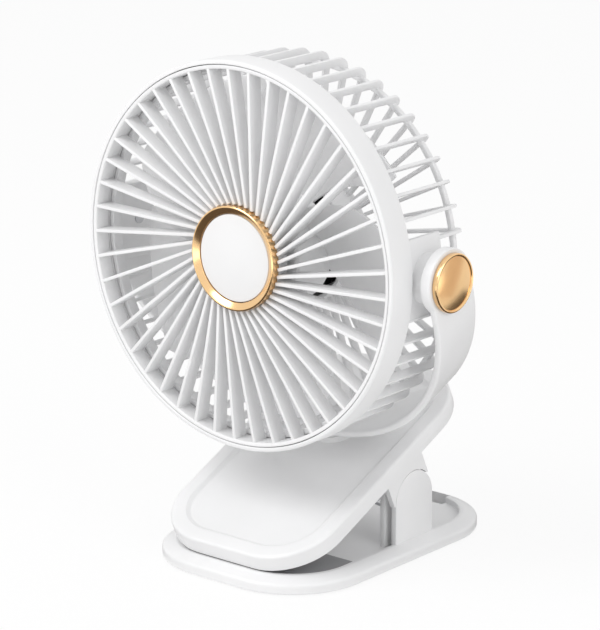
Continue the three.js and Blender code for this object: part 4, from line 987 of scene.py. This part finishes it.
class CLIPFAN_OT_rotor(PieceOperator):
    """Adds the impeller"""
    bl_idname = "clip_fan.rotor"
    bl_label = "Impeller"

    def blade(self):
        """One blade, from its root inside the hub to its tip, with rounded tip corners."""
        rotor = self.rotor
        chord, rings = 28, 18
        root = rotor["hub_radius"] - 0.8
        span = rotor["blade_span"]
        thick = rotor["blade_thickness"]

        def spot(f, out, layer):
            """A point at f of the chord and out of the radius, on the front or the back face."""
            radius = root + (rotor["radius"] - root) * out
            corner = 0.12 * span * max(out - 0.6, 0) ** 2 * 6.25
            angle = rotor["blade_first"] - rotor["sweep"] * out - corner - f * (span - 2 * corner)
            lift = rotor["rise"] * f + rotor["camber"] * math.sin(math.pi * f)
            y = rotor["front"] + 3 + (lift + layer * thick) * (1 - 0.25 * out)
            return (radius * math.cos(angle), y, radius * math.sin(angle))

        loops = []
        for k in range(rings + 1):
            out = k / rings
            low = [spot(i / chord, out, 0) for i in range(chord + 1)]
            high = [spot(i / chord, out, 1) for i in range(chord, -1, -1)]
            loops.append(low + high)
        return bevelled(loft(loops), 0.5, 3, 50)

    def build(self):
        rotor, head = self.rotor, self.head
        front = rotor["front"]
        back = front + rotor["hub_length"]
        outer, wall = rotor["hub_radius"], 1.6
        hub = turned(rounded([
            (0, front), (outer, front), (outer, back), (outer - wall, back), (outer - wall, front + wall),
            (0, front + wall),
        ], [0, 2.2, 0.4, 0.4, 0.8, 0], False, 5), 96)
        blades = grown(self.blade(), turned_copies_tree(), {"Count": rotor["blades"], "Material": finish("blade")})
        piece("impeller_body", merged(hub, blades), head_place(head), "blade", "impeller", ("impeller",), 50)


# ---------------------------------------------------------------- yoke

class CLIPFAN_OT_yoke(PieceOperator):
    """Adds the C-shaped yoke with its turning foot"""
    bl_idname = "clip_fan.yoke"
    bl_label = "Yoke"

    def build(self):
        yoke, clip = self.yoke, self.clip
        inner, thick, half = yoke["inner_radius"], yoke["thickness"], yoke["width"] / 2
        height = yoke["foot_height"] + inner + thick
        spots, faces, rim = self.stadium(math.pi / 2 * inner, half)
        bm = bmesh.new()
        low, high = [
            {key: bm.verts.new(self.bend(spot, radius, inner, height)) for key, spot in spots.items()}
            for radius in (inner, inner + thick)
        ]
        for face in faces:
            bm.faces.new([low[key] for key in reversed(face)])
            bm.faces.new([high[key] for key in face])
        for a, b in rim:
            bm.faces.new((low[a], low[b], high[b], high[a]))
        band = bevelled(bm, yoke["edge"], 4, 40)
        foot = rod(yoke["foot_radius"], 1.7, yoke["foot_height"] + thick / 2, "Z", (0, 0), 0.5, 96)
        discs = [self.disc(side, height) for side in (1, -1)]
        piece("yoke_band", merged(band, foot, *discs), yoke_place(yoke, clip), "shell", "yoke", ("yoke",))

    def disc(self, side, height):
        """The round thickening of an arm's end about the pivot."""
        yoke = self.yoke
        inner = yoke["inner_radius"]
        low, high = inner - yoke["disc_inner"], inner + yoke["thickness"] + 0.05
        ring = section(yoke["disc_bore"], yoke["disc_radius"], low, high)
        disc = turned(rounded(ring, [0.15, 0.6, 0.6, 0.1], True, 4), 96, "X", side)
        return moved(disc, (0, 0, height))

    def stadium(self, reach, half):
        """A long strip with round ends: points by key, faces, and the edge's pairs."""
        spots, faces, rim = {}, [], []
        along, across, rings = 120, 12, 6
        for i in range(along + 1):
            for j in range(across + 1):
                spots[("strip", i, j)] = (-reach + 2 * reach * i / along, -half + 2 * half * j / across)
        for i in range(along):
            for j in range(across):
                faces.append([("strip", i, j), ("strip", i + 1, j), ("strip", i + 1, j + 1), ("strip", i, j + 1)])
            rim.append((("strip", i, 0), ("strip", i + 1, 0)))
            rim.append((("strip", i + 1, across), ("strip", i, across)))
        for side, edge in ((-1, 0), (1, along)):
            arc = 24
            middle = ("strip", edge, across // 2)

            def key(ring, k):
                if ring == 0:
                    return middle
                if k == 0 or k == arc:
                    offset = ring * (across // 2) // rings
                    return ("strip", edge, across // 2 + (offset if k == arc else -offset))
                return ("end", side, ring, k)

            for ring in range(1, rings + 1):
                for k in range(1, arc):
                    turn = -math.pi / 2 + math.pi * k / arc
                    radius = half * ring / rings
                    spots[("end", side, ring, k)] = (
                        side * (reach + radius * math.cos(turn)), radius * math.sin(turn),
                    )
            for ring in range(1, rings + 1):
                for k in range(arc):
                    corners = [key(ring - 1, k), key(ring, k), key(ring, k + 1), key(ring - 1, k + 1)]
                    corners = list(dict.fromkeys(corners))
                    faces.append(corners if side > 0 else list(reversed(corners)))
            for k in range(arc):
                pair = (key(rings, k), key(rings, k + 1))
                rim.append(pair if side > 0 else (pair[1], pair[0]))
        return spots, faces, rim

    def bend(self, spot, radius, inner, height):
        """Wraps the strip's length round the lower half circle; the ends stand straight."""
        along, across = spot
        quarter = math.pi / 2 * inner
        if abs(along) <= quarter:
            turn = along / inner
            return (radius * math.sin(turn), across, height - radius * math.cos(turn))
        side = 1 if along > 0 else -1
        return (side * radius, across, height + abs(along) - quarter)


class CLIPFAN_OT_caps(PieceOperator):
    """Adds the two gold pivot caps"""
    bl_idname = "clip_fan.caps"
    bl_label = "Pivot Caps"

    def build(self):
        yoke = self.yoke
        inner = yoke["inner_radius"] + yoke["thickness"] + 0.3
        outer = inner + yoke["cap_height"]
        radius = yoke["cap_radius"]
        place = Matrix.Translation(PIVOT) @ MM
        for name, side in (("right", 1), ("left", -1)):
            dome = radius - 1.1
            face = [(dome * k / 12, outer - 0.12 - 0.62 * (k / 12) ** 2) for k in range(13)]
            line = face + [
                (radius - 0.85, outer - 0.3), (radius - 0.4, outer - 0.2),
                (radius, outer - 0.55), (radius, inner), (radius - 1.6, inner), (radius - 1.6, outer - 1.6),
                (0, outer - 1.6),
            ]
            radii = [0] * 13 + [0.15, 0.2, 0.25, 0.2, 0.1, 0.1, 0]
            cap = turned(rounded(line, radii, False, 4), 128, "X", side)
            piece("cap_" + name, cap, place, "gold", "yoke", ("pivot_cap_" + name,), 25)


# ---------------------------------------------------------------- upper jaw

def jaw_plate(clip, inset, steps, fillets):
    """A plate that follows the upper jaw's outline."""
    width = clip["jaw_width"] - 2 * inset
    length_ = clip["jaw_length"] - 2 * inset
    centre = clip["jaw_length"] / 2 - clip["jaw_front"]
    return plate(width, length_, clip["jaw_corner"] - inset, centre, steps, fillets, 14)


def socket_middle(clip):
    """Height of the charging socket's middle above the hinge; it lies just over the under cover."""
    return clip["jaw_top"] - clip["jaw_side"] + COVER_GAP + COVER_WALL + SOCKET_LIFT + SOCKET_HALF


class CLIPFAN_OT_jaw_shell(PieceOperator):
    """Adds the upper jaw's shell with its rim, sunk panel, cheeks and turning boss"""
    bl_idname = "clip_fan.jaw_shell"
    bl_label = "Upper Jaw Shell"

    def build(self):
        clip, yoke = self.clip, self.yoke
        top = clip["jaw_top"]
        bottom = top - clip["jaw_side"]
        panel = top - clip["panel_depth"]
        ceiling = panel - 1.9
        rim = clip["jaw_rim"]
        shell = jaw_plate(clip, 0, [
            (rim + 6, panel), (rim + 1.6, panel), (rim, top), (0, top), (0, bottom), (SHELL_WALL, bottom),
            (SHELL_WALL, ceiling), (rim + 6, ceiling),
        ], [0, 1.2, 0.8, 1.3, 0.3, 0.3, 0.3, 0])
        bracket = clip["bracket"]
        low = bottom - 9.5
        hollow = bracket + 0.3
        start = math.asin(low / hollow)
        cheek = [(-bracket, bottom + 1), (-bracket, low)]
        cheek += round_arc(hollow, math.pi - start, start, 24)
        cheek += [(bracket, low), (bracket, bottom + 1)]
        cheeks = [slab(cheek, side, clip["jaw_width"] / 2, SHELL_WALL) for side in (1, -1)]
        boss = rod(yoke["foot_radius"], panel - 0.5, panel + 2.6, "Z", (0, yoke["axis_behind"]), 0.5, 96)
        shell = combined(shell, cheeks + [boss], "UNION")
        rear = clip["jaw_length"] - clip["jaw_front"]
        socket = round_rect(9.6, 3.6, 1.75, 8, (0, socket_middle(clip)))
        cutters = [
            rod(clip["button_radius"] + 0.3, panel - 4, top + 5, "Z", (0, clip["button_at"]), 0, 64),
            rod(1.4, panel - 4, top + 5, "Z", (LENS_AT, clip["button_at"]), 0, 32),
            prism(socket, rear - 4.7, rear + 1, "Y"),
        ]
        shell = combined(shell, cutters, "DIFFERENCE")
        piece("jaw_shell", shell, jaw_place(), "shell", "upper_jaw", ("upper_shell",), 30)


class CLIPFAN_OT_jaw_cover(PieceOperator):
    """Adds the cover under the upper jaw, with its belly and hinge lugs"""
    bl_idname = "clip_fan.jaw_cover"
    bl_label = "Under Cover"

    def build(self):
        clip = self.clip
        bottom = clip["jaw_top"] - clip["jaw_side"] + COVER_GAP
        top = bottom + COVER_WALL
        belly = clip["coil"] + clip["wire"] + 0.3
        width, length_, middle = 50, 27, 30.5
        cover = jaw_plate(clip, COVER_INSET, [(0, bottom), (0, top)], [0, 0])
        box = bevelled(plate(width, length_, 3, middle, [(0, belly), (0, top - 0.2)], [0, 0], 8), 0.9, 3, 60)
        lug = [(-10, bottom + 0.5), (-7, 0)]
        lug += round_arc(7, math.pi, 2 * math.pi, 24)[1:-1]
        lug += [(7, 0), (10, bottom + 0.5)]
        outer = clip["jaw_width"] / 2 - COVER_INSET - 0.3
        lugs = [slab(lug, side, outer, 2.4) for side in (1, -1)]
        cover = combined(cover, [box] + lugs, "UNION")
        holes = [rod(7, bottom - 1, top + 1, "Z", (0, self.yoke["axis_behind"]), 0, 64),
                 rod(2.3, -40, 40, "X", (0, 0), 0, 32)]
        holes += [rod(SCREW_HOLE, bottom - 1, bottom + 1.2, "Z", spot, 0, 32) for spot in JAW_SCREWS]
        room = 2 * COVER_WALL
        inside = plate(width - room, length_ - room, 1.4, middle, [(0, belly + COVER_WALL), (0, top + 1)], [0, 0], 6)
        cover = combined(cover, holes + [inside], "DIFFERENCE")
        piece("jaw_under_cover", cover, jaw_place(), "shell", "upper_jaw", ("under_cover",))


class CLIPFAN_OT_controls(PieceOperator):
    """Adds the power button, the indicator lens and the charging socket"""
    bl_idname = "clip_fan.controls"
    bl_label = "Controls"

    def build(self):
        clip = self.clip
        panel = clip["jaw_top"] - clip["panel_depth"]
        under = panel - 2.2
        radius = clip["button_radius"]
        button = turned(rounded([
            (0, panel + 0.45), (radius * 0.6, panel + 0.5), (radius, panel + 0.8), (radius, under - 0.1),
            (radius + 1.2, under - 0.1), (radius + 1.2, under - 1), (0, under - 1),
        ], [0, 4, 0.5, 0.1, 0.2, 0.2, 0], False, 5), 96, "Z")
        button = moved(button, (0, clip["button_at"], 0))
        piece("button_cap", button, jaw_place(), "badge", "button", ("power_button",))
        bottom = clip["jaw_top"] - clip["jaw_side"]
        lens = rod(1.1, bottom + 0.45, panel + 0.15, "Z", (LENS_AT, clip["button_at"]), 0.12, 32)
        piece("lens_rod", lens, jaw_place(), "lens", "upper_jaw", ("indicator_lens",))
        rear = clip["jaw_length"] - clip["jaw_front"]
        middle = (0, socket_middle(clip))
        outer = round_rect(9, 2 * SOCKET_HALF, 1.4, 8, middle)
        mouth = prism(round_rect(8.2, 2.2, 1.05, 8, middle), rear - 3.6, rear + 1, "Y")
        can = combined(prism(outer, rear - 4.4, rear - 0.3, "Y"), [mouth], "DIFFERENCE")
        socket = merged(can, prism(round_rect(6.2, 0.7, 0.2, 4, middle), rear - 4.0, rear - 1.2, "Y"))
        piece("socket_can", socket, jaw_place(), "steel", "upper_jaw", ("charging_socket",))


def foot_size():
    """Width, length and thickness of the foot pad, as in the CAD."""
    low, high = [[value * 1000 for value in corner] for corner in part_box("foot_pad")]
    return high[0] - low[0], high[1] - low[1], high[2]


class CLIPFAN_OT_grip_pads(PieceOperator):
    """Adds the lower grip pad and the foot pad"""
    bl_idname = "clip_fan.grip_pads"
    bl_label = "Grip Pads"

    def build(self):
        clip = self.clip
        inset = clip["slope"] + clip["rim"] + 0.9
        width, length_ = clip["base_width"] - 2 * inset, clip["base_length"] - 2 * inset
        corner = clip["base_corner"] - inset
        bottom, top = clip["floor"] + 0.3, clip["floor"] + 1.1
        pad = plate(width, length_, corner, 0, [(0, bottom), (0, top)], [0, 0.3], 16)
        rear = -length_ / 2 + 31.5
        keep = prism([(-60, -80), (60, -80), (60, rear), (-60, rear)], bottom - 1, top + 1, "Z")
        pad = combined(pad, [keep], "INTERSECT")
        piece("lower_pad", pad, MM, "pad", "lower_jaw", ("grip_pad_lower",))
        width, length_, top = foot_size()
        foot = plate(width, length_, FOOT_CORNER, 0, [(0.4, 0), (0, 0.3), (0, top)], [0.1, 0.1, 0], 12)
        piece("foot_sheet", foot, MM, "rubber", "lower_jaw", ("foot_pad",))


# ---------------------------------------------------------------- base

class CLIPFAN_OT_base(PieceOperator):
    """Adds the base shell with its rim, tray, hanging slot and hinge brackets"""
    bl_idname = "clip_fan.base"
    bl_label = "Base Shell"

    def build(self):
        clip = self.clip
        lift, edge, top, floor = BASE_LIFT, clip["base_edge"], clip["base_top"], clip["floor"]
        tray = clip["slope"] + clip["rim"]
        under = floor - 1.8
        shell = plate(clip["base_width"], clip["base_length"], clip["base_corner"], 0, [
            (tray + 8, floor), (tray, floor), (tray, top), (clip["slope"], top), (0, edge), (0, lift), (3.2, lift),
            (3.2, under), (tray + 8, under),
        ], [0, 0.25, 0.5, 1.2, 1.6, 0.7, 0.2, 0.2, 0], 16)
        hinge_y, hinge_z, radius = HINGE.y * 1000, HINGE.z * 1000, clip["bracket"]
        outline = [(hinge_y - radius, under + 0.5), (hinge_y + radius, under + 0.5)]
        outline += round_arc(radius, 0, math.pi, 40, (hinge_y, hinge_z))
        half = clip["jaw_width"] / 2
        walls = [
            bevelled(slab(outline, side, outer, BRACKET_WALL), 0.35, 2, 50)
            for side in (1, -1) for outer in (half, half - BRACKET_WALL - BRACKET_GAP)
        ]
        shell = combined(shell, walls, "UNION")
        reach = half - 1.2
        slot_y = clip["base_length"] / 2 - tray
        slot = round_rect(clip["slot_width"], 6.6, 0.8, 4, (0, slot_y - 0.1))
        cutters = [rod(2.3, -reach, reach, "X", (hinge_y, hinge_z), 0, 48), prism(slot, -1, top + 2, "Z")]
        shell = combined(shell, cutters, "DIFFERENCE")
        piece("base_shell", shell, MM, "shell", "lower_jaw", ("lower_shell",), 30)

        inset = 3.5
        cover = plate(clip["base_width"] - 2 * inset, clip["base_length"] - 2 * inset, clip["base_corner"] - inset, 0,
                      [(0.3, lift), (0, 0.9), (0, 2.3)], [0, 0, 0], 16)
        notch = [(-18.5, slot_y - 3.4), (18.5, slot_y - 3.4), (18.5, 80), (-18.5, 80)]
        width, length_, _ = foot_size()
        recess = plate(width + 0.6, length_ + 0.6, FOOT_CORNER + 0.3, 0, [(0, -1), (0, 1.1)], [0, 0], 12)
        holes = [rod(SCREW_HOLE, -1, lift + 1.2, "Z", spot, 0, 32) for spot in BASE_SCREWS]
        cover = combined(cover, [prism(notch, -1, 5, "Z"), recess] + holes, "DIFFERENCE")
        piece("base_cover", cover, MM, "shell", "lower_jaw", ("bottom_cover",))


# A torsion spring, in millimetres: the coil's start beside the middle, the rise of a turn, whole turns, a leg's length.
COIL_START, COIL_PITCH, COIL_TURNS, LEG = 13.5, 2.1, 3, 27


class CLIPFAN_OT_springs(PieceOperator):
    """Adds the torsion springs and the hinge pin"""
    bl_idname = "clip_fan.springs"
    bl_label = "Springs and Pin"

    def build(self):
        clip = self.clip
        wire = clip["wire"]
        hinge_y, hinge_z = HINGE.y * 1000, HINGE.z * 1000
        for name, side in (("right", 1), ("left", -1)):
            path, width = self.path(side)
            spring = piece("spring_" + name, sweep(path, wire, 12), MM, "steel", None, ("torsion_spring_" + name,), 60)
            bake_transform(spring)
        reach = clip["jaw_width"] / 2 - 1.5
        pin = rod(2, -reach, reach, "X", (hinge_y, hinge_z), 0.4, 48)
        piece("pin_rod", pin, MM, "steel", "lower_jaw", ("hinge_pin",))

    def path(self, side):
        """The wire from the leg under the upper jaw, round the coil, to the leg on the base; and the coil's width."""
        clip = self.clip
        radius = clip["coil"]
        hinge_y, hinge_z = HINGE.y * 1000, HINGE.z * 1000
        drop = hinge_z - clip["floor"] - clip["wire"] - 0.3
        end_y = math.sqrt(LEG ** 2 + radius ** 2 - drop ** 2)
        low = math.atan2(-drop, end_y) - math.acos(radius / math.hypot(end_y, drop))
        high = math.pi / 2 + TILT
        turn = low - high + 2 * math.pi * (COIL_TURNS + 1)
        width = COIL_PITCH * turn / (2 * math.pi)
        steps, leg_steps = 110, 8
        along = Vector((0, math.cos(TILT), math.sin(TILT)))
        coil = [Vector((
            side * (COIL_START + width * k / steps),
            hinge_y + radius * math.cos(high + turn * k / steps),
            hinge_z + radius * math.sin(high + turn * k / steps),
        )) for k in range(steps + 1)]
        end = Vector((side * (COIL_START + width), hinge_y + end_y, hinge_z - drop))
        upper = [coil[0] + along * LEG * k / leg_steps for k in range(leg_steps, 0, -1)]
        lower = [coil[-1].lerp(end, k / leg_steps) for k in range(1, leg_steps + 1)]
        return upper + coil + lower, width


# ---------------------------------------------------------------- screws and kept nodes

class CLIPFAN_OT_screws(PieceOperator):
    """Adds the cross-head screws under the base, under the jaw and behind the motor"""
    bl_idname = "clip_fan.screws"
    bl_label = "Screws"

    def screw(self):
        """A screw along Z with its head at the bottom, its plate's face at 0."""
        body = turned(rounded([
            (0, 0.3), (1.6, 0.32), (2.1, 0.6), (2.1, 0.9), (1.0, 0.9), (1.0, 3.0), (0, 3.1),
        ], [0, 0.5, 0.1, 0.1, 0, 0.2, 0], False, 3), 36, "Z")
        arms = [prism([(-x, -y), (x, -y), (x, y), (-x, y)], -1, 0.62, "Z") for x, y in ((1.2, 0.22), (0.22, 1.2))]
        return combined(body, arms, "DIFFERENCE")

    def row(self, name, node, spots, place, tilt, body):
        """One screw for each spot, each with its cross at another angle."""
        master = added("screw_pattern", mesh_of(self.screw()))
        points = bmesh.new()
        for spot in spots:
            points.verts.new(spot)
        screws = grown(points, placed_copies_tree(), {
            "Piece": master, "Seed": 7, "Tilt": tilt, "Material": finish("steel"),
        })
        bpy.data.objects.remove(master)
        piece(name, screws, place, "steel", body, ["%s_%d" % (node, n + 1) for n in range(len(spots))])

    def build(self):
        clip = self.clip
        bottom = clip["jaw_top"] - clip["jaw_side"] + COVER_GAP
        back = self.cage["depth"] + 0.8
        self.row("base_screws", "cover_screw", [(x, y, BASE_LIFT) for x, y in BASE_SCREWS], MM, (0, 0, 0), "lower_jaw")
        self.row("jaw_screws", "jaw_screw", [(x, y, bottom) for x, y in JAW_SCREWS], jaw_place(), (0, 0, 0),
                 "upper_jaw")
        self.row("motor_screws", "motor_screw", [(x, back, z) for x, z in MOTOR_SCREWS], head_place(self.head),
                 (math.pi / 2, 0, 0), "head")


class CLIPFAN_OT_kept_nodes(PieceOperator):
    """Gives the CAD nodes that stay their finishes"""
    bl_idname = "clip_fan.kept_nodes"
    bl_label = "Kept Pieces"

    def build(self):
        looks = {
            "motor_shaft": "steel", "turntable_screw": "steel", "turntable_washer": "steel",
            "pivot_screw_right": "steel", "pivot_screw_left": "steel",
            "pivot_washer_right": "rubber", "pivot_washer_left": "rubber",
            "grip_pad_upper": "pad", "battery": "wrap", "circuit_board": "board",
        }
        for node, key in looks.items():
            dress(node, finish(key))


# ---------------------------------------------------------------- add-on

OPERATORS = (
    CLIPFAN_OT_stage,
    CLIPFAN_OT_bezel,
    CLIPFAN_OT_grille,
    CLIPFAN_OT_hub_trim,
    CLIPFAN_OT_cage,
    CLIPFAN_OT_motor,
    CLIPFAN_OT_rotor,
    CLIPFAN_OT_yoke,
    CLIPFAN_OT_caps,
    CLIPFAN_OT_jaw_shell,
    CLIPFAN_OT_jaw_cover,
    CLIPFAN_OT_controls,
    CLIPFAN_OT_grip_pads,
    CLIPFAN_OT_base,
    CLIPFAN_OT_springs,
    CLIPFAN_OT_screws,
    CLIPFAN_OT_kept_nodes,
)

GROUPS = {
    "clip_fan_head": ClipFanHead,
    "clip_fan_cage": ClipFanCage,
    "clip_fan_rotor": ClipFanRotor,
    "clip_fan_yoke": ClipFanYoke,
    "clip_fan_clip": ClipFanClip,
    "clip_fan_colours": ClipFanColours,
}


class CLIPFAN_PT_panel(bpy.types.Panel):
    """Lists the sizes, the colours and the operators"""
    bl_idname = "CLIPFAN_PT_panel"
    bl_label = "Clip Fan"
    bl_space_type = "VIEW_3D"
    bl_region_type = "UI"
    bl_category = "Clip Fan"

    def draw(self, context):
        for name, group in GROUPS.items():
            box = self.layout.box()
            box.label(text=name.replace("clip_fan_", "").title())
            for key in group.__annotations__:
                box.prop(getattr(context.scene, name), key)
        for operator in OPERATORS:
            self.layout.operator(operator.bl_idname)


def register():
    for group in GROUPS.values():
        bpy.utils.register_class(group)
    for name, group in GROUPS.items():
        setattr(bpy.types.Scene, name, PointerProperty(type=group))
    for operator in OPERATORS:
        bpy.utils.register_class(operator)
    bpy.utils.register_class(CLIPFAN_PT_panel)


def unregister():
    bpy.utils.unregister_class(CLIPFAN_PT_panel)
    for operator in reversed(OPERATORS):
        bpy.utils.unregister_class(operator)
    for name in GROUPS:
        delattr(bpy.types.Scene, name)
    for group in reversed(list(GROUPS.values())):
        bpy.utils.unregister_class(group)


def main():
    register()
    for operator in OPERATORS:
        group, name = operator.bl_idname.split(".")
        result = getattr(getattr(bpy.ops, group), name)()
        if result != {"FINISHED"}:
            raise RuntimeError(operator.bl_label + " did not finish")


if __name__ == "__main__":
    main()
